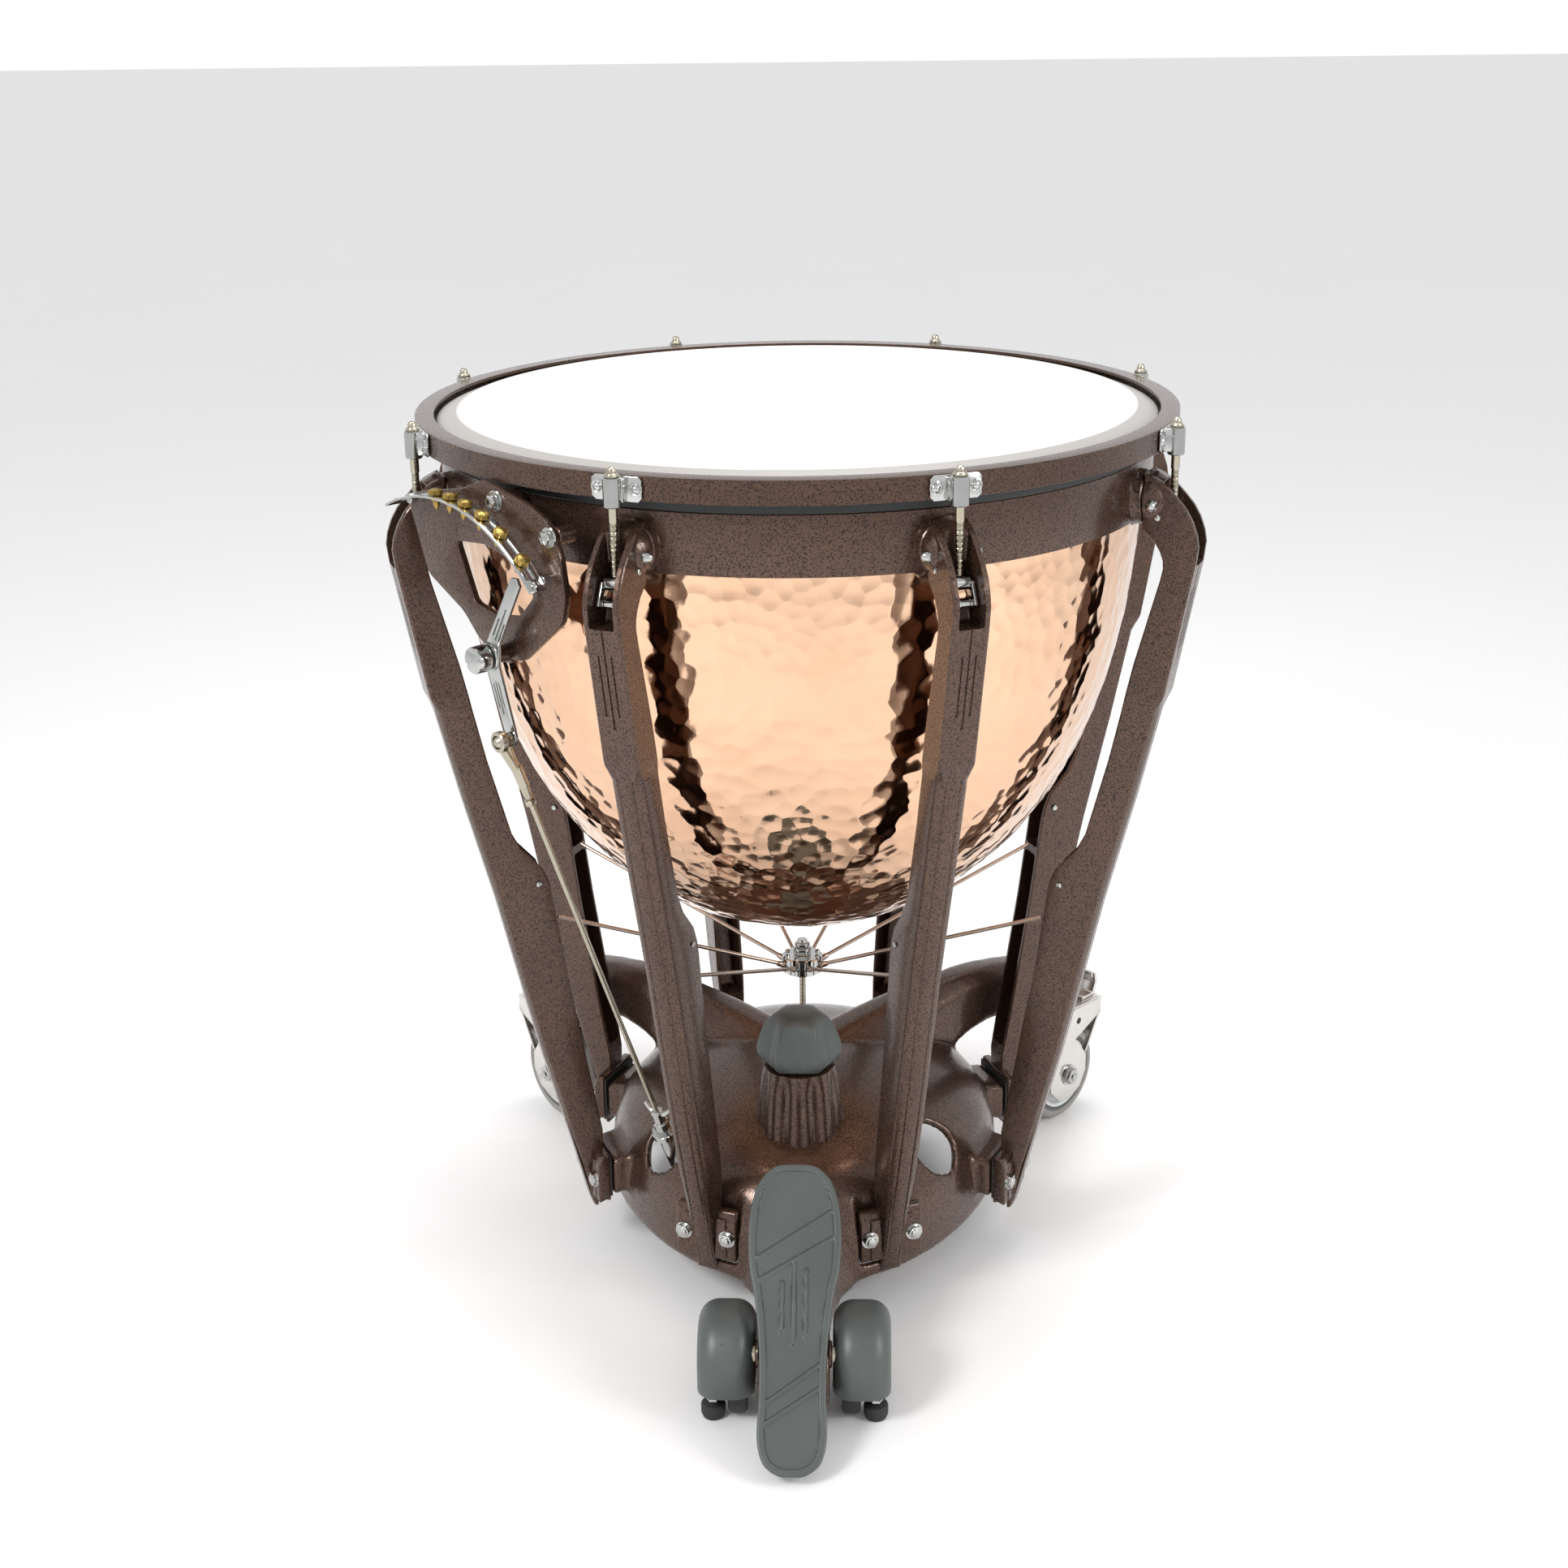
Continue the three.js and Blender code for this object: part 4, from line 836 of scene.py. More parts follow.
# %% Strut fixings
parts = []
for side in (-1, 1):
    t = side * FOOT_BOLT_SPREAD
    parts.append(spindle(stand(t, 240.5, FOOT_BOLT_Z), stand(t, 243, FOOT_BOLT_Z),
                         [(0, 8.6), (0.4, 9.0), (2.5, 8.8)], 32))
    parts.append(hexagon(stand(t, 242, FOOT_BOLT_Z), stand(t, 247, FOOT_BOLT_Z), 13))
    parts.append(spindle(stand(t, 247, FOOT_BOLT_Z), stand(t, 248.2, FOOT_BOLT_Z),
                         [(0, 5.0), (0.6, 4.6), (1.2, 3.6)], 24))
    head_bolt = stand(side * 17.3, 361, 812)
    out = Vector((side, 0, 0))
    parts.append(spindle(head_bolt, head_bolt + out * 1.6, [(0, 7.2), (0.3, 7.5), (1.6, 7.2)], 32))
    parts.append(hexagon(head_bolt + out * 1.2, head_bolt + out * 6, 11))
    parts.append(spindle(head_bolt + out * 5.8, head_bolt + out * 11.5, [(0, 5.4), (2, 4.9), (4, 3.4),
            (5.2, 1.6), (5.7, 0.3)], 32))
    pin = stand(side * 17.4, 366, 800)
    parts.append(spindle(pin, pin + out * 1.8, [(0, 3.0), (0.8, 2.9), (1.5, 2.0), (1.8, 0.8)], 24))
    knee = stand(side * 17.4, 284, 425.5)
    parts.append(spindle(knee, knee + out * 0.9, [(0, 2.8), (0.5, 2.6), (0.9, 1.6)], 24))
finished(all_round(joined(*parts), plating), "strut_fixings", plating, "frame")

# %% [markdown]
# ## Rockers in the strut heads
# A rocker in each strut head turns the spoke's pull into a pull on the tension rod.
# It is two pressed cheeks with a threaded barrel for the rod and a small roller at its outer end.

# %% Rockers
cheeks = []
for low in (-10.5, 7.5):
    cheeks.append(rounded(side_prism([(356, 786), (375, 782), (387, 770), (393, 774), (384, 793),
                                      (356, 794)], low, low + 3),
                          0.5, 2))
barrel = rod(stand(-9.5, ROD_CIRCLE, 790), stand(9.5, ROD_CIRCLE, 790), 6, 32, 0.8)
roller = spindle(stand(-9.5, 388, 775), stand(9.5, 388, 775),
                 [(0, 3.2), (0.4, 3.5), (5.5, 3.5), (6, 2.9), (13, 2.9), (13.5, 3.5), (18.6, 3.5),
                  (19, 3.2)], 32)
pattern = joined(*cheeks, barrel, roller)
for i, angle in enumerate(STATION_ANGLES, 1):
    twin = moved(copied(pattern), Matrix.Rotation(math.radians(angle), 4, "Z"))
    finished(twin, f"rocker_pair_{i}", plating, f"rocker_{i}", [f"rocker_{i}"])
bpy.data.objects.remove(pattern)

# %% [markdown]
# ## Spoke hub and pull rod
# The pedal pulls this hub down, and eight wire spokes carry the pull to the rockers through the hollow struts.
# The hub is a turned disc with a slotted rim, and the pull rod is a long threaded rod with a lock nut.

# %% Spoke hub
HUB_Z = 287.0
disc = spindle((0, 0, HUB_Z - 9), (0, 0, HUB_Z + 9), [(0, 19.8), (1, 21), (6.4, 21), (7, 19), (10, 19),
                                                      (10.6, 21), (16.6, 21),
                                                     (18, 19.4)], 64)
notches = [moved(block((15, -1.6, HUB_Z - 3), (24, 1.6, HUB_Z + 11)),
                 Matrix.Rotation(2 * math.pi * (i + 0.5) / 8, 4, "Z"))
           for i in range(8)]
cut(disc, joined(*notches))
posts = [spindle(at(angle, 17, HUB_Z + 8.8), at(angle, 17, HUB_Z + 11.4), [(0, 2.6), (1.6, 2.6),
        (2.3, 1.6), (2.6, 0.4)], 16)
         for angle in STATION_ANGLES]
nut_low = hexagon((0, 0, HUB_Z + 9), (0, 0, HUB_Z + 17), 16)
stem = rod((0, 0, HUB_Z + 8), (0, 0, HUB_Z + 26), 5.2, 24)
nut_top = hexagon((0, 0, HUB_Z + 18), (0, 0, HUB_Z + 22.5), 14)
finished(joined(disc, *posts, nut_low, stem, nut_top), "spoke_hub_disc", plating, "spider", ["spoke_hub"])
spoke = swept([stand(0, 14, HUB_Z - 2), stand(0, 24, HUB_Z + 1.5), stand(0, 262, 381)], 2.0, 12)
eye = spindle(stand(0, 20.8, HUB_Z - 0.2), stand(0, 29, HUB_Z + 3), [(0, 3.2), (1, 3.4), (6.5, 3.0),
        (8.8, 2.2)], 16)
finished(all_round(joined(spoke, eye), spoke_metal), "wire_spokes", spoke_metal, "spider", sharp=40)
PULL_PITCH, PULL_TURNS, PULL_CORE, PULL_LOW = 2.2, 28, 2.95, 212.0
thread = threaded(PULL_PITCH, PULL_TURNS, PULL_CORE, (0, 0, PULL_LOW), steel)
stem = rod((0, 0, 140), (0, 0, HUB_Z - 9.3), 3.1)
lock = hexagon((0, 0, HUB_Z - 16), (0, 0, HUB_Z - 9.3), 12)
finished(joined(thread, stem, lock), "pull_rod_thread", steel, "spider", ["pull_rod"])

# %% [markdown]
# ## Base casting
# The foot is one aluminium casting: a domed skirt, two arms back to the casters and one arm forward to the pedal.
# The rough solids are melted into one skin by a voxel remesh and then smoothed, which leaves soft cast fillets.

# %% Rough solids of the base
KNOB_Y = -140.0
CASTER_R, CASTER_ANGLE = 325.0, 124.5
ROUGH_VOXEL, CORE_VOXEL, SKIN_VOXEL = 3.0, 4.0, 3.3
SKIRT = [(0, 196), (60, 192), (110, 183), (150, 170), (180, 154), (200, 134), (211, 108), (214, 80),
         (214, 45)]


def skirt_stretch(angle, radius):
    """How far the round skirt is drawn out towards the player."""
    forward = 0.965 + 0.195 * max(0.0, math.cos(angle)) ** 4
    return 1 + (forward - 1) * min(1.0, radius / 150)


def arm(sections, angle):
    """An upturned trough from (r, top, bottom, crest, shoulder, foot, drop) rows, turned to its angle."""
    loops = []
    for r, top, bottom, crest, shoulder, foot, drop in smooth_line(sections, 4):
        loops.append([stand(x, r, z) for x, z in ((-foot, bottom), (-shoulder, top - drop),
                                                  (-crest, top), (crest, top),
                                                  (shoulder, top - drop), (foot, bottom))])
    return moved(rows(loops), Matrix.Rotation(math.radians(angle), 4, "Z"))


def nose(sections):
    """A tapering arm from (outwards, low half width, low z, top half width, top z) rows."""
    return rows([[stand(-low, r, z0), stand(low, r, z0), stand(top, r, z1), stand(-top, r, z1)]
                 for r, low, z0, top, z1 in smooth_line(sections, 4)])


dome = turned(smooth_line(SKIRT, 5) + [(0, 45)], 96, skirt_stretch)
rear_rows = [(20, 198, 60, 14, 40, 60, 20), (90, 212, 100, 13, 34, 50, 20), (150, 220, 138, 12, 30, 38, 18),
             (220, 226, 164, 12, 24, 27, 16), (290, 218, 166, 13, 24, 27, 14), (325, 206, 160, 15, 22,
                     25, 12)]
front_rows = [(170, 90, 45, 60, 118), (236, 60, 42, 42, 92), (272, 41, 38, 33, 80), (335, 31, 34, 27, 66),
              (378, 30, 34, 27, 56)]
rough = [dome, nose(front_rows)]
for side in (-1, 1):
    rough.append(arm(rear_rows, side * CASTER_ANGLE))
    boss = at(side * CASTER_ANGLE, CASTER_R, 0)
    rough.append(spindle(boss + Vector((0, 0, 158)), boss + Vector((0, 0, 204)), [(0, 26), (40, 26),
            (46, 22)], 48))
pads = [moved(side_prism([(184, 80), (PAD_FACE, 70), (PAD_FACE, 112), (184, 118)], -33, 33),
              Matrix.Rotation(math.radians(a), 4, "Z"))
        for a in STATION_ANGLES]
seat = spindle((0, KNOB_Y, 110), (0, KNOB_Y, 176), [(0, 38), (55, 38), (66, 30)], 48)
casting = joined(*rough, *pads, seat)
shaped(casting, "REMESH", mode="VOXEL", voxel_size=ROUGH_VOXEL)
shaped(casting, "SMOOTH", factor=0.5, iterations=9)
print("outer skin", len(casting.data.polygons))

# %% Hollows and holes of the base
WALL = 7.0
inner = [(max(0.0, r - WALL), z - (25 if r > 205 else 6.3)) for r, z in SKIRT]
hollows = [turned(smooth_line(inner, 5) + [(0, 20)], 96, skirt_stretch),
           nose([(150, 80, 20, 52, 108), (236, 53, 20, 35, 85), (272, 34, 20, 26, 73), (335, 24, 20, 20,
                   58)])]
for side in (-1, 1):
    hollows.append(arm([(60, 190, 120, 6, 28, 40, 20), (150, 211, 150, 5, 22, 30, 18), (209, 215, 166,
            5, 17, 20, 16)],
                       side * CASTER_ANGLE))
    hollows.append(arm([(211, 215, 20, 5, 17, 20, 16), (250, 213, 20, 5, 16, 19, 14), (290, 208, 20, 5,
            15, 19, 12)],
                       side * CASTER_ANGLE))
core = shaped(joined(*hollows), "REMESH", mode="VOXEL", voxel_size=CORE_VOXEL)
holes = [moved(block((-33.6, -286, 62), (33.6, -PAD_FACE, 140)), Matrix.Rotation(math.radians(a), 4,
        "Z")) for a in STATION_ANGLES]
for angle in (-45, 45):
    holes.append(rod(at(angle, 149, 61), at(angle, 220, 201), 28, 48))
holes.append(rod((0, 0, 150), (0, 0, 230), 9, 32))
cut(casting, core, joined(*holes))
shaped(casting, "REMESH", mode="VOXEL", voxel_size=SKIN_VOXEL)
shaped(casting, "SMOOTH", factor=0.5, iterations=5)
finished(casting, "base_skirt", hammertone, "frame", ["base_casting"], sharp=60)

# %% Ears for the pedal shaft
PIVOT_Y, PIVOT_Z = -398.0, 70.0
ear = [(374, 34), (426, 34), (427, 50), (420, 64), (404, 80), (390, 86), (374, 84)]
ears = [rounded(side_prism(ear, low, low + 17.5), 2.5, 4) for low in (-33, 15.5)]
bridge = rounded(block((-33, -384, 34), (33, -356, 58)), 3, 3)
caps = [spindle((side * 33, PIVOT_Y, PIVOT_Z), (side * 35.4, PIVOT_Y, PIVOT_Z), [(0, 13), (1.4, 12.6),
        (2.4, 10.5)], 48)
        for side in (-1, 1)]
finished(joined(*ears, bridge, *caps), "pedal_ears", hammertone, "frame")
shaft = spindle((-34.5, PIVOT_Y, PIVOT_Z), (34.5, PIVOT_Y, PIVOT_Z), [(0, 5.8), (0.8, 6.8), (68.2, 6.8),
        (69, 5.8)], 32)
clips = [hexagon((side * 34.4, PIVOT_Y, PIVOT_Z), (side * 38.6, PIVOT_Y, PIVOT_Z), 14) for side in (-1, 1)]
finished(joined(shaft, *clips), "pedal_axle", steel, "frame", ["pedal_shaft"])

# %% [markdown]
# ## Knob housing and tension knob
# The fine-tuning knob sits on a fluted cone. Its flutes are cast in, with sharp lines between them.
# The knob is a six-cornered star round a smooth dome, with flats pressed in between the corners.

# %% Fluted housing
FLUTES = 8
LOOP_POINTS = 192
sections = []
for z in [118 + 121.4 * i / 24 for i in range(25)]:
    radius = 46.5 - 7.0 * (z - 118) / 122 - 3.0 * max(0.0, (z - 190) / 50) ** 2
    depth = 4.6 if z < 222 else 4.6 - 3.0 * (z - 222) / 18
    loop = []
    for k in range(LOOP_POINTS):
        a = 2 * math.pi * k / LOOP_POINTS
        r = radius - depth * (1 - abs(math.cos(FLUTES / 2 * a)))
        loop.append((r * math.cos(a), KNOB_Y + r * math.sin(a), z))
    sections.append(loop)
housing = rows(sections)
flanges = [rounded(rows([[(side * x, KNOB_Y + y, z) for x, y in ((38, -4), (w, -4), (w, 4), (38, 4))]
                         for z, w in ((120, 47), (150, 46), (180, 44.5), (196, 40.5))]), 1.4,
                         3) for side in (-1, 1)]
finished(joined(housing, *flanges), "knob_housing", hammertone, "frame", sharp=50)

# %% Star knob
levels = smooth_line([(26.5, 241, 0.0), (36, 242.5, 4.0), (41.4, 248, 8.4), (42.5, 256, 9.6),
                      (41.2, 264, 9.6), (38, 274, 8.4),
                      (33.4, 284, 6.0), (28, 290.5, 3.4), (20, 294.2, 1.2), (10, 295.8, 0.2),
                      (0.6, 296, 0.0)], 5)
star = []
for radius, z, depth in levels:
    loop = []
    for k in range(144):
        a = 2 * math.pi * k / 144
        r = radius - depth * abs(math.cos(3 * a)) ** 1.15
        loop.append((r * math.sin(a), KNOB_Y + r * math.cos(a), z))
    star.append(loop)
finished(rows(star), "star_knob", texture_paint, "knob", ["tension_knob"], sharp=50)

# %% [markdown]
# ## Pedal
# The pedal is a cast foot plate with a raised border. Two slanted bands and three ribs stop the shoe from slipping.
# Its tread is a fine grid whose height follows the distance to the border, the bands and the ribs.

# %% Pedal plate
SOLE = [(0, 10), (2, 18), (6, 24.5), (18, 34.5), (40, 41), (70, 43.5), (100, 42), (120, 38), (140, 35),
        (180, 31.4),
        (220, 30.5), (252, 31.6), (268, 30.4), (280, 26.5), (287, 20.5), (291.5, 13), (293, 7)]
TOE, HEEL = Vector((0, -281, 203)), Vector((0, -503, 17))
down = (HEEL - TOE).normalized()
outwards = Vector((0, down.z, -down.y))
if outwards.z < 0:
    outwards = -outwards
edge_line = smooth_line(SOLE, 4)
rim_line = [(0, 0)] + edge_line + [(293, 0)]
BORDER, RELIEF = 6.2, 2.2


def to_segment(px, py, ax, ay, bx, by):
    t = max(0.0, min(1.0,
                     ((px - ax) * (bx - ax) + (py - ay) * (by - ay)) / ((bx - ax) ** 2 + (by - ay) ** 2)))
    return math.hypot(px - ax - t * (bx - ax), py - ay - t * (by - ay))


def ledge(distance, half, soft=1.1):
    """1 on a raised strip, falling smoothly to 0 beyond its edge."""
    t = max(0.0, min(1.0, (half + soft - distance) / soft))
    return t * t * (3 - 2 * t)


RAISED = [(-34, 92, 36, 46, 1.5), (-37, 116, 40, 70, 1.5), (-30, 232, 28, 190, 1.5), (-30, 250, 28, 212,
        1.5),
          (0, 98, 0, 172, 1.6), (-11, 116, -11, 160, 1.5), (11, 104, 11, 164, 1.5)]


def tread_height(x, s):
    away = min(to_segment(abs(x), s, w0, s0, w1, s1) for (s0, w0), (s1, w1) in zip(rim_line, rim_line[1:]))
    height = ledge(away, BORDER)
    for ax, ay, bx, by, half in RAISED:
        height = max(height, ledge(to_segment(x, s, ax, ay, bx, by), half))
    fall = max(0.0, 1.6 - away)
    return RELIEF * (height - 1) - fall * fall * 0.5


COLUMNS, ROWS = 104, 290
lengths = [293 * (1 - math.cos(math.pi * (0.03 + 0.94 * i / ROWS))) / 2 for i in range(ROWS + 1)]
lengths[0], lengths[-1] = 0.0, 293.0
verts, faces = [], []
for s in lengths:
    w = between(edge_line, s)
    for j in range(COLUMNS + 1):
        x = w * (2 * j / COLUMNS - 1)
        verts.append(TOE + down * s + outwards * tread_height(x, s) + Vector((x, 0, 0)))
top_count = len(verts)
stride = COLUMNS + 1
for i in range(len(lengths) - 1):
    for j in range(COLUMNS):
        faces.append((i * stride + j, i * stride + j + 1, (i + 1) * stride + j + 1, (i + 1) * stride + j))
rim = list(range(stride)) + [i * stride + COLUMNS for i in range(1, len(lengths))]
rim += [(len(lengths) - 1) * stride + j for j in range(COLUMNS - 1, -1, -1)]
rim += [i * stride for i in range(len(lengths) - 2, 0, -1)]
for depth, squeeze in ((4.5, 1.0), (8.2, 0.99), (9.0, 0.965)):
    start_at = len(verts)
    for k in rim:
        s = (verts[k] - TOE).dot(down)
        verts.append(TOE + down * (146.5 + (s - 146.5) * squeeze) + Vector((verts[k].x * squeeze, 0,
                0)) - outwards * depth)
    ring_before = rim if start_at == top_count else list(range(start_at - len(rim), start_at))
    for m in range(len(rim)):
        n = (m + 1) % len(rim)
        faces.append((ring_before[m], ring_before[n], start_at + n, start_at + m))
faces.append(tuple(range(len(verts) - len(rim), len(verts))))
plate = solid(verts, faces)
hinge = rounded(side_prism([(388, 58), (412, 58), (420, 72), (440, 66), (390, 108), (360, 132),
                            (372, 100)], -13, 13), 2, 3)
sleeve = rod((-13.5, PIVOT_Y, PIVOT_Z), (13.5, PIVOT_Y, PIVOT_Z), 13, 40, 0.8)
finished(joined(plate, hinge, sleeve), "foot_pedal", texture_paint, "pedal", ["pedal"], sharp=50)

# %% [markdown]
# ## Front fenders, wheels and levelling feet
# Beside the pedal two cast fenders hide a small wheel and a levelling foot each.
# A fender is a half drum with well-rounded corners, hollowed from below; sections are joined across its width.

# %% Fenders
FENDER_X, FENDER_Y, FENDER_Z = 63.0, -370.0, 52.0


def half_drum(radius, half_width, corner, lip):
    """A half drum across x with rounded corners and straight skirts down to the lip."""
    across = [(-half_width + corner * (1 - math.cos(t)), corner * (1 - math.sin(t)))
              for t in (math.pi / 2 * i / 8 for i in range(9))]
    across += [(-x, d) for x, d in reversed(across)]
    loops = []
    for x, inset in across:
        r = radius - inset
        loop = [(x, FENDER_Y - r, lip)]
        loop += [(x, FENDER_Y + r * math.cos(math.pi * (1 - i / 32)),
                  FENDER_Z + r * math.sin(math.pi * i / 32))
                 for i in range(33)]
        loops.append(loop + [(x, FENDER_Y + r, lip)])
    return rows(loops)


WHEEL_Y, WHEEL_R = -382.0, 28.0
STUD_Y = -394.0
STUD_PITCH, STUD_TURNS, STUD_CORE = 1.25, 22, 3.3
for side, name in ((-1, "left"), (1, "right")):
    cover = rounded(cut(half_drum(50, 27, 19, 34), half_drum(46.5, 23.5, 15.5, 24)), 0.8, 2, 60)
    moved(cover, Matrix.Translation((side * FENDER_X, 0, 0)))
    low, high = sorted((side * 37, side * 39.5))
    carrier = block((low, WHEEL_Y - 9, WHEEL_R - 6), (high, WHEEL_Y + 9, 44))
    wall = block((side * 65 - 1.5, WHEEL_Y - 26, WHEEL_R - 0.5), (side * 65 + 1.5, WHEEL_Y + 34, 86))
    low, high = sorted((side * 64, side * 87))
    shelf = block((low, WHEEL_Y - 20, 40), (high, WHEEL_Y + 10, 46))
    cut(shelf, rod((side * 76, STUD_Y, 30), (side * 76, STUD_Y, 60), 4.4))
    finished(joined(cover, *(rounded(p, 0.8, 2) for p in (carrier, wall, shelf))), f"fender_{name}",
             texture_paint, "frame",
             [f"front_fender_{name}"], sharp=35)
    axle = rod((side * 37, WHEEL_Y, WHEEL_R), (side * 66.4, WHEEL_Y, WHEEL_R), 3.3)
    axle_head = spindle((side * 37.2, WHEEL_Y, WHEEL_R), (side * 34.8, WHEEL_Y, WHEEL_R),
                        [(0, 5.6), (1.2, 5.2), (2.4, 3.2)])
    finished(joined(axle, axle_head), f"front_axle_{name}", plating, "frame")
    centre = side * 53
    wheel = spindle((centre - 9, WHEEL_Y, WHEEL_R), (centre + 9, WHEEL_Y, WHEEL_R),
                    [(0, 8), (0, 15), (0.9, 17), (0.9, 20), (0.2, 22), (0.4, 24.5), (1.6, 26.6),
                     (4, 27.8), (14, 27.8), (16.4, 26.6),
                     (17.6, 24.5), (17.8, 22), (17.1, 20), (17.1, 17), (18, 15), (18, 8)], 64)
    cut(wheel, rod((centre - 12, WHEEL_Y, WHEEL_R), (centre + 12, WHEEL_Y, WHEEL_R), 3.6))
    finished(wheel, f"small_wheel_{name}", rubber, f"front_wheel_{name}", [f"front_wheel_{name}"])
    x = side * 76
    foot = spindle((x, STUD_Y, 0), (x, STUD_Y, 16), [(0, 9), (0.8, 10), (2.4, 10.3), (3.4, 11),
                                                     (5, 11.5), (13, 11.5), (14.6, 10.8),
                                                    (15.6, 9), (16, 6)], 48)
    finished(foot, f"rubber_foot_{name}", rubber, f"levelling_foot_{name}", [f"levelling_foot_{name}"])
    nut = hexagon((x, STUD_Y, 16), (x, STUD_Y, 20.5), 12)
    stud = threaded(STUD_PITCH, STUD_TURNS, STUD_CORE, (x, STUD_Y, 22), plating)
    finished(joined(nut, stud, rod((x, STUD_Y, 16), (x, STUD_Y, 52), 3.4)), f"foot_stud_{name}", plating,
             f"levelling_foot_{name}")

# %% [markdown]
# ## Rear casters
# Each rear caster is a swivelling fork of folded stainless sheet round a 114 mm wheel with a grey tyre.
# A lever tab at its trailing end presses the brake on the tread, and the wheel turns on a bolt with a hexagon nut.

# %% Casters
TRAIL, REAR_R = 29.0, 57.0
SHEET = 2.4
FORK_SIDE = [(-24, 138), (-24, 122), (-6, 92), (-8, 70), (-2, 44), (14, 28), (32, 25), (52, 34),
             (62, 52), (62, 72), (50, 88),
             (40, 98), (88, 118), (88, 138)]
for side, name in ((-1, "left"), (1, "right")):
    heading = math.radians(side * 42)
    c, s = math.sin(heading), math.cos(heading)
    x, y, _ = at(side * CASTER_ANGLE, CASTER_R, 0)
    caster = Matrix(((c, 0, s, x), (s, 0, -c, y), (0, 1, 0, 0), (0, 0, 0, 1)))
    sheets = []
    for low in (-21, 18.6):
        cheek = prism(FORK_SIDE, low, low + SHEET)
        cut(cheek, rod((8, 118, low - 3), (8, 118, low + 6), 5.5, 24), rod((46, 120, low - 3),
                (46, 120, low + 6), 4.0, 24))
        sheets.append(rounded(cheek, 0.7, 2))
    crown = rounded(prism([(-24, -21), (82, -21), (88, -15), (88, 15), (82, 21), (-24, 21), (-28, 15),
                           (-28, -15)], 0, 4), 1.2, 3)
    moved(crown, Matrix(((1, 0, 0, 0), (0, 0, 1, 135.2), (0, 1, 0, 0), (0, 0, 0, 1))))
    sheets.append(crown)
    sheets.append(rounded(prism([(62, 72), (66, 74), (92, 118), (88, 119)], -19, 19), 0.7, 2))
    finished(moved(joined(*sheets), caster), f"caster_fork_{name}", stainless, f"rear_fork_{name}",
             [f"rear_fork_{name}"])
    bits = [spindle((0, 138, 0), (0, 157.4, 0), [(0, 21), (1, 22), (6, 22), (7, 19), (10, 19),
                                                 (11, 20.5), (18.4, 20.5), (19.4, 19)],
                    48)]
    for way in (-1, 1):
        face = way * 21
        bits.append(spindle((TRAIL, REAR_R, face), (TRAIL, REAR_R, face + way * 1.8),
                            [(0, 12), (0.5, 12.4), (1.8, 12)]))
        bits.append(hexagon((TRAIL, REAR_R, face + way * 1.6), (TRAIL, REAR_R, face + way * 8), 17))
        bits.append(spindle((TRAIL, REAR_R, face + way * 8), (TRAIL, REAR_R, face + way * 10.5),
                            [(0, 4.6), (1.8, 4.2), (2.5, 3.2)]))
    bits.append(rod((TRAIL, REAR_R, -22), (TRAIL, REAR_R, 22), 5.9))
    finished(moved(joined(*bits), caster), f"caster_bolts_{name}", plating, f"rear_fork_{name}")
    tab = rounded(prism([(60, 139.4), (82, 139.4), (88, 155), (85.2, 166), (82, 166), (84, 155),
                         (79, 143.4), (60, 143.4)],
                        -15, 15), 0.8, 3)
    lip = rounded(prism([(80.6, 160), (86, 160), (84.6, 167), (80.6, 167)], -12, 12), 1.0, 3)
    finished(moved(joined(tab, lip), caster), f"brake_tab_{name}", stainless, f"brake_lever_{name}",
             [f"brake_lever_{name}"])
    to_wheel = caster @ Matrix.Translation((TRAIL, REAR_R, 0))
    tyre = turned([(46.4, -12), (47.6, -13.4), (50, -13.8), (53.4, -12.4), (56.2, -9), (57, -5),
                   (57, 5), (56.2, 9), (53.4, 12.4),
                   (50, 13.8), (47.6, 13.4), (46.4, 12)], 96)
    finished(moved(tyre, to_wheel), f"tyre_{name}", tread, f"rear_wheel_{name}", [f"rear_wheel_{name}"])
    flank = turned([(41.6, -11), (43, -12.4), (46.5, -12.4), (46.5, 12.4), (43, 12.4), (41.6, 11)], 96)
    finished(moved(flank, to_wheel), f"tyre_bead_{name}", groove_rubber, f"rear_wheel_{name}")
    wheel_disc = turned([(6.4, -15.4), (13, -15.4), (14, -14.6), (15, -9), (18, -8), (36, -9.4),
                         (38.4, -12.6), (41.7, -13),
                         (41.7, 13), (38.4, 12.6), (36, 9.4), (18, 8), (15, 9), (14, 14.6), (13, 15.4),
                         (6.4, 15.4)], 96)
    finished(moved(wheel_disc, to_wheel), f"wheel_disc_{name}", wheel_plastic, f"rear_wheel_{name}")

# %% [markdown]
# ## Tuning gauge
# A plate hung from the ring holds a curved plated strip. Brass markers slide in its slot, one for each note.
# The pointer turns with the pedal through a link rod, so its tip travels past the markers.

# %% Gauge plate
GAUGE = -45.0
turn_sin, turn_cos = math.sin(math.radians(GAUGE)), math.cos(math.radians(GAUGE))
GAUGE_PLACE = Matrix(((turn_cos, 0, turn_sin, 0), (turn_sin, 0, -turn_cos, 0), (0, 1, 0, 0), (0, 0, 0, 1)))
PLATE_NEAR = 368.0
outline = [(-40, 736), (-20, 716), (-2, 706), (44, 706), (103, 752), (110, 776), (104, 812), (90, 838),
           (60, 850), (0, 862),
           (-30, 850), (-108, 834), (-116, 824), (-92, 762)]
opening = [(-46, 800), (-22, 748), (14, 742), (44, 748), (66, 770), (48, 792), (0, 804)]


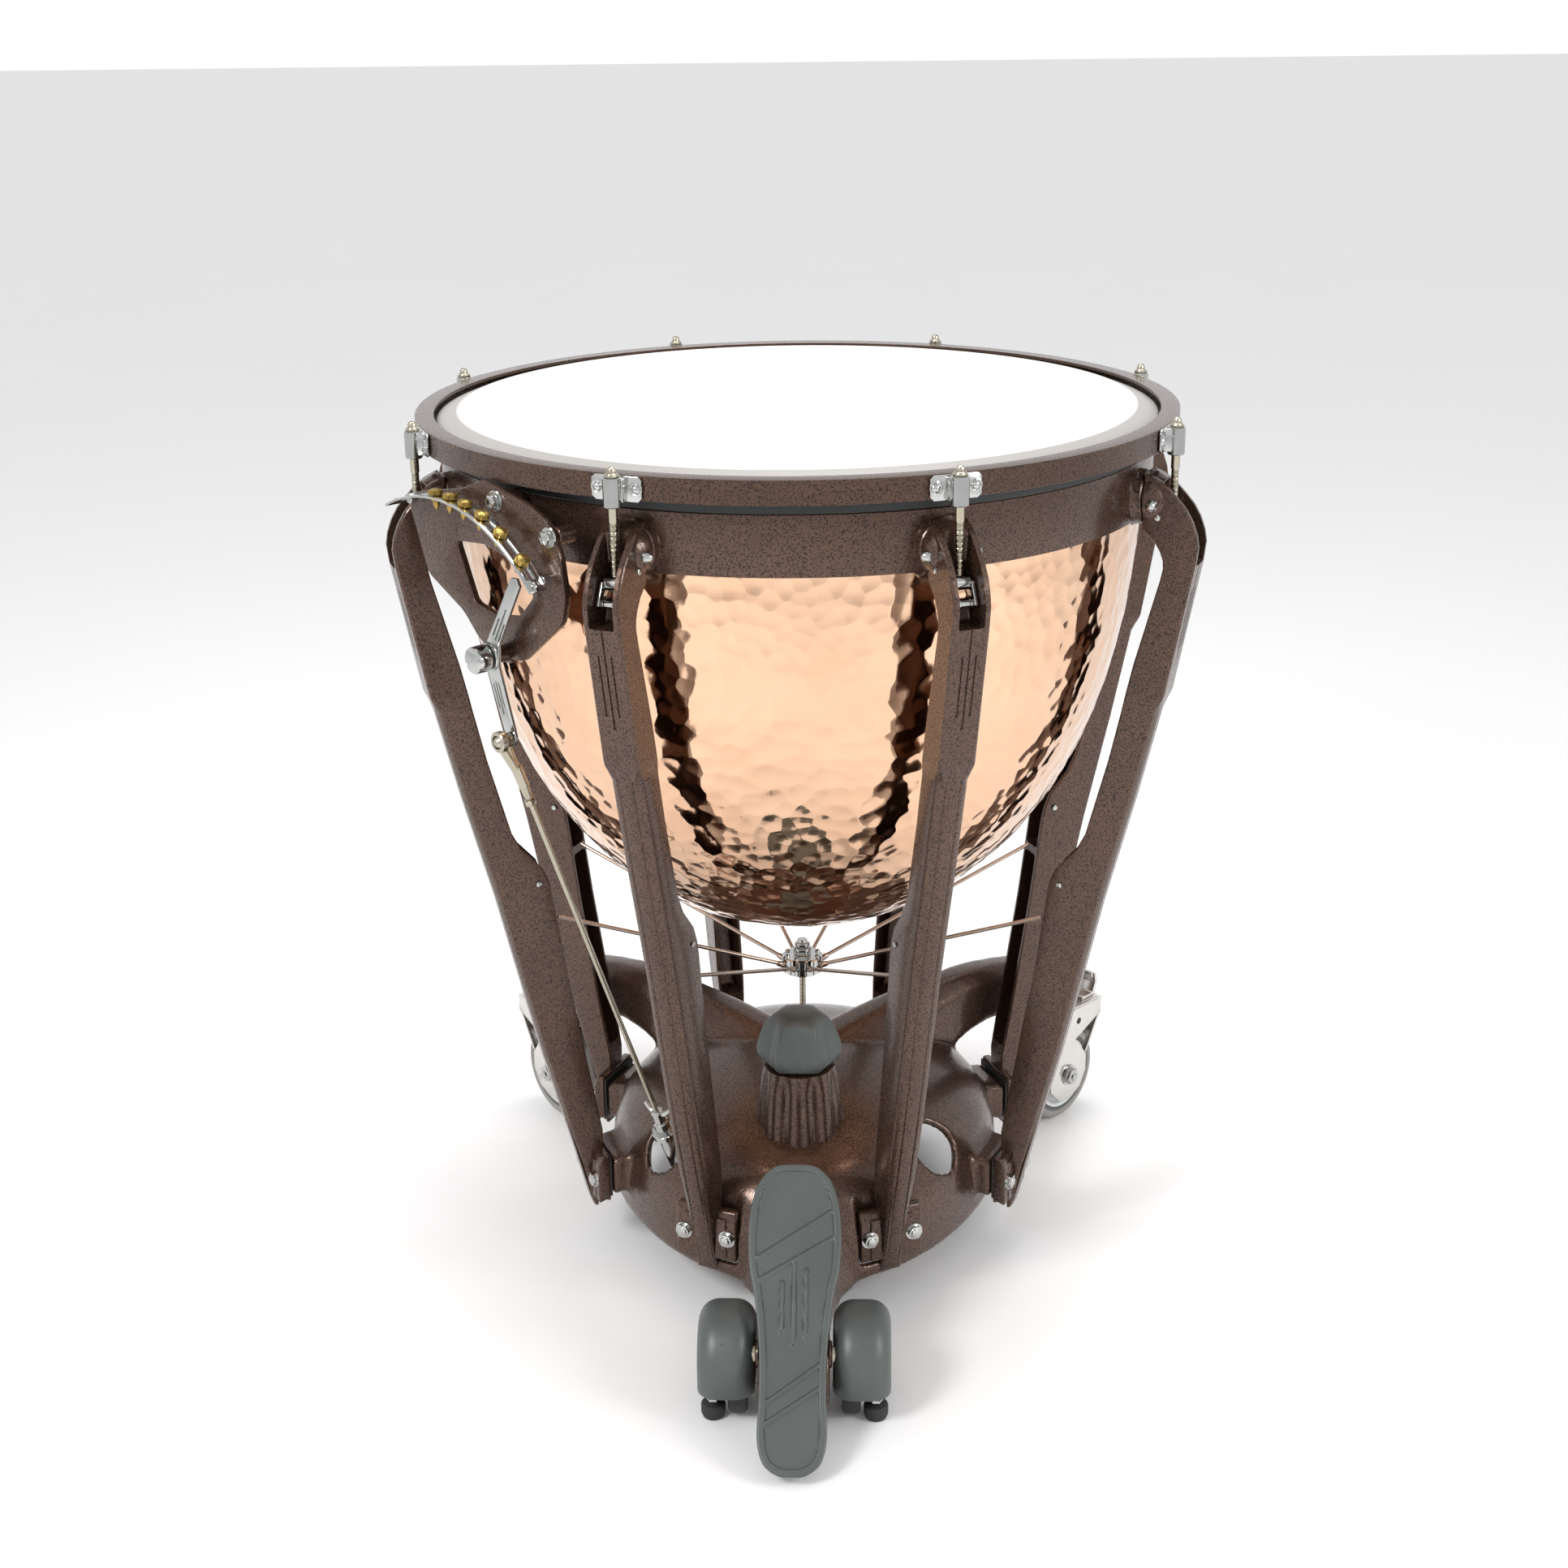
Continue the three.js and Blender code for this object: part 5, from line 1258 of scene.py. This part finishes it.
def softened(points, reach=7.0, steps=4):
    """An outline with its corners rounded off."""
    out = []
    for i, p in enumerate(points):
        a, b = Vector(points[i - 1]), Vector(points[(i + 1) % len(points)])
        p = Vector(p)
        start_p = p + (a - p).normalized() * min(reach, (a - p).length / 2.1)
        end_p = p + (b - p).normalized() * min(reach, (b - p).length / 2.1)
        for k in range(steps + 1):
            t = k / steps
            q = start_p * (1 - t) ** 2 + p * (2 * t * (1 - t)) + end_p * t * t
            out.append((q.x, q.y))
    return out


plate = cut(prism(softened(outline), PLATE_NEAR, PLATE_NEAR + 7), prism(softened(opening, 6),
        PLATE_NEAR - 5, PLATE_NEAR + 12))
rounded(plate, 1.2, 3, 50)
POINTER_T, POINTER_Z = 20.0, 710.0
bosses = [spindle((POINTER_T, POINTER_Z, 373), (POINTER_T, POINTER_Z, 389), [(0, 10), (2, 7.6),
        (15, 7.0), (16, 6.2)])]
for t, z in ((92, 826), (18, 846)):
    bosses.append(spindle((t, z, 352), (t, z, 369), [(0, 8), (16, 8), (17, 7)]))
finished(moved(joined(plate, *bosses), GAUGE_PLACE), "gauge_plate", hammertone, "frame", ["gauge_bracket"])
bolts = []
for t, z in ((92, 826), (18, 846)):
    bolts.append(spindle((t, z, 375), (t, z, 376.8), [(0, 9), (0.4, 9.4), (1.8, 9)]))
    bolts.append(hexagon((t, z, 376.6), (t, z, 382), 11))
TRACK_T, TRACK_Z, TRACK_RADIUS = -38.0, 667.0, 177.0
for t, z in ((126, 122), (-66, 163)):
    bolts.append(rod((TRACK_T + t, TRACK_Z + z, 374), (TRACK_T + t, TRACK_Z + z, 382.8), 4.6))
finished(moved(joined(*bolts), GAUGE_PLACE), "gauge_bolts", plating, "frame")


# %% Gauge strip
def arc_band(outer, inner, start_angle, end_angle, near, far, steps=72):
    turns_list = [math.radians(start_angle + (end_angle - start_angle) * i / steps) for i in range(steps + 1)]
    line = [(TRACK_T + outer * math.cos(a), TRACK_Z + outer * math.sin(a)) for a in turns_list]
    line += [(TRACK_T + inner * math.cos(a), TRACK_Z + inner * math.sin(a)) for a in reversed(turns_list)]
    return prism(line, near, far)


rails = [arc_band(TRACK_RADIUS, TRACK_RADIUS - 2, 41, 116, 383, 401)]
cut(rails[0], arc_band(TRACK_RADIUS + 3, TRACK_RADIUS - 5, 45, 112, 389.5, 394.5))
rails[0] = rounded(rails[0], 0.4, 2, 60)
for angle in (43, 114):
    a = math.radians(angle)
    start_p = Vector((TRACK_T + (TRACK_RADIUS - 0.4) * math.cos(a),
                      TRACK_Z + (TRACK_RADIUS - 0.4) * math.sin(a), 392))
    out = Vector((math.cos(a), math.sin(a), 0))
    screw = spindle(start_p, start_p + out * 2.6, [(0, 3.8), (1.2, 3.6), (2.1, 2.6), (2.6, 1.2)])
    rails.append(screw)
finished(moved(joined(*rails), GAUGE_PLACE), "gauge_strip", plating, "frame", ["gauge_track"])

# %% Markers
for i, angle in enumerate((93, 86, 79, 71, 62, 51), 1):
    a = math.radians(angle)
    out = Vector((math.cos(a), math.sin(a), 0))
    foot = Vector((TRACK_T, TRACK_Z, 392))
    knurl = [((6.5 - 0.45 * (k % 2)) * math.cos(math.pi * k / 26),
              (6.5 - 0.45 * (k % 2)) * math.sin(math.pi * k / 26))
             for k in range(52)]
    head_disc = rounded(prism(knurl, 0, 4.4), 0.3, 1, 70)
    moved(head_disc, Matrix.Translation(foot + out * (TRACK_RADIUS + 0.4)) @ frame_along(out))
    dome_top = spindle(foot + out * (TRACK_RADIUS + 4.7), foot + out * (TRACK_RADIUS + 6),
                       [(0, 5.0), (0.6, 4.6), (1.1, 2.8), (1.3, 1)])
    stem = rod(foot + out * (TRACK_RADIUS - 4), foot + out * (TRACK_RADIUS + 2), 2.1, 16)
    tip = spindle(foot + out * (TRACK_RADIUS - 2.4), foot + out * (TRACK_RADIUS - 13),
                  [(0, 4.2), (2.6, 4.2), (3.2, 3.2), (6.4, 3.0), (10, 1.3), (10.6, 0.4)], 24)
    finished(moved(joined(head_disc, dome_top, stem, tip), GAUGE_PLACE), f"note_marker_{i}", brass,
             f"marker_{i}",
             [f"gauge_marker_{i}"])

# %% Pointer
blade = prism([(7, 706), (16, 698), (38, 643), (42, 634), (49, 634), (53, 643), (33, 704), (35, 724),
               (69.5, 782), (66, 788.5),
               (58, 788)], 389.7, 392.6)
tip_way = Vector((65 - POINTER_T, 786 - POINTER_Z, 0)).normalized()
tail_way = Vector((45.5 - POINTER_T, 638 - POINTER_Z, 0)).normalized()
grooves = []
for way, reach, offset in ((tip_way, (20, 56), 0), (tip_way, (22, 42), 4.2), (tip_way, (22, 42), -4.2),
                           (tail_way, (22, 52), 0),
                           (tail_way, (24, 46), 3.6), (tail_way, (24, 46), -3.6)):
    across = Vector((-way.y, way.x, 0))
    middle = Vector((POINTER_T, POINTER_Z, 0)) + across * offset
    corners = [middle + way * reach[0] - across * 0.8, middle + way * reach[1] - across * 0.8,
               middle + way * reach[1] + across * 0.8,
               middle + way * reach[0] + across * 0.8]
    grooves.append(prism([(p.x, p.y) for p in corners], 390.6, 394))
cut(blade, joined(*grooves))
rounded(blade, 0.35, 2, 40)
centre = Vector((POINTER_T, POINTER_Z, 0))
screw = spindle(centre + Vector((0, 0, 392.4)), centre + Vector((0, 0, 411.6)),
                [(0, 13), (1.0, 13.4), (2.4, 13), (2.8, 10.4), (4.4, 10.4), (4.8, 12), (5.6, 12.2),
                 (16.4, 12.2), (18, 11.6), (19.2, 9.6)], 64)
cut(screw, moved(block((-14, -1.3, 0), (14, 1.3, 4)),
                 Matrix.Translation(centre + Vector((0, 0, 408.6))) @ Matrix.Rotation(0.5, 4, "Z")))
finished(moved(joined(blade, screw), GAUGE_PLACE), "pointer_blade", plating, "pointer", ["gauge_pointer"])
washer = spindle(centre + Vector((0, 0, 395.4)), centre + Vector((0, 0, 397)), [(0, 11.6), (1.6, 11.6)], 48)
finished(moved(washer, GAUGE_PLACE), "pointer_washer", black_finish, "pointer")

# %% [markdown]
# ## Link rod
# A thin rod joins the pointer to the pedal inside the base. A wing nut on a split collar holds its length.

# %% Link rod
LINK_TOP, LINK_FOOT = Vector((-249.6, -313.2, 640)), Vector((-123, -137, 112))


def link_at(f):
    return LINK_TOP + (LINK_FOOT - LINK_TOP) * f


joint = at(GAUGE, 404, 640, 45)
pieces = [spindle(at(GAUGE, 393.3, 640, 45), joint, [(0, 6.2), (0.6, 6.6), (4, 6.6), (4.6, 4.4),
                                                     (6.4, 4.4), (7, 6.0), (10, 6.0), (10.7, 5)]),
          rod(at(GAUGE, 399, 640, 45), link_at(0.06), 3.4), rod(link_at(0.11), link_at(0.86), 2.6)]
along = (LINK_FOOT - LINK_TOP).normalized()
pieces.append(spindle(link_at(0.05), link_at(0.118), [(0, 3.2), (1, 4.4), (8, 5.0), (24, 5.0),
                                                      (25, 4.0), (32, 4.0), (40, 3.0)]))
pieces.append(hexagon(link_at(0.118), link_at(0.128), 10))
eye = spindle(at(GAUGE, 400.5, 640, 45), at(GAUGE, 407.5, 640, 45), [(0, 8.6), (1, 9.6), (6, 9.6),
        (7, 8.6)], 40)
pieces.append(cut(eye, rod(at(GAUGE, 395, 640, 45), at(GAUGE, 410, 640, 45), 6.2)))
pieces.append(spindle(at(GAUGE, 399, 640, 45), at(GAUGE, 409, 640, 45), [(0, 3), (2.2, 5.2), (5, 5.8),
        (7.8, 5.2), (10, 3)]))
pieces.append(rod(at(GAUGE, 404, 640, 45) + (LINK_FOOT - LINK_TOP).normalized() * 8, link_at(0.07), 4.2))
finished(joined(*pieces), "link_bar", steel, "link", ["link_rod"])
tube = spindle(link_at(0.84), link_at(1.09), [(0, 5.2), (1, 6.2), (14, 6.2), (15, 8.2), (20, 8.2),
                                              (20.5, 8.2), (150, 8.2), (151, 7)], 40)
flange = spindle(link_at(0.887), link_at(0.9), [(0, 12), (0.6, 12.8), (6.5, 12.8), (7.2, 12)], 48)
side_way = Vector((13, -8, 0)).normalized()
wing_middle = link_at(0.852) + Vector((0, 0, 3))
wings = [rounded(joined(swept(smooth_line([tuple(wing_middle + side_way * (w * d) + Vector((0, 0,
        h))) for d, h in
                                           ((2, 0), (7, 1.5), (12, 5), (16, 9))], 4),
                                           [3.4 - 0.12 * k for k in range(13)], 12)),
                 0.1, 1, 80) for w in (-1, 1)]
hub_nut = spindle(wing_middle - along * 5, wing_middle + along * 5, [(0, 4.6), (1, 5.6), (8, 6.2),
        (10, 6.0)])
finished(joined(tube, flange, hub_nut, *wings), "link_sleeve", plating, "link", ["link_collar"])
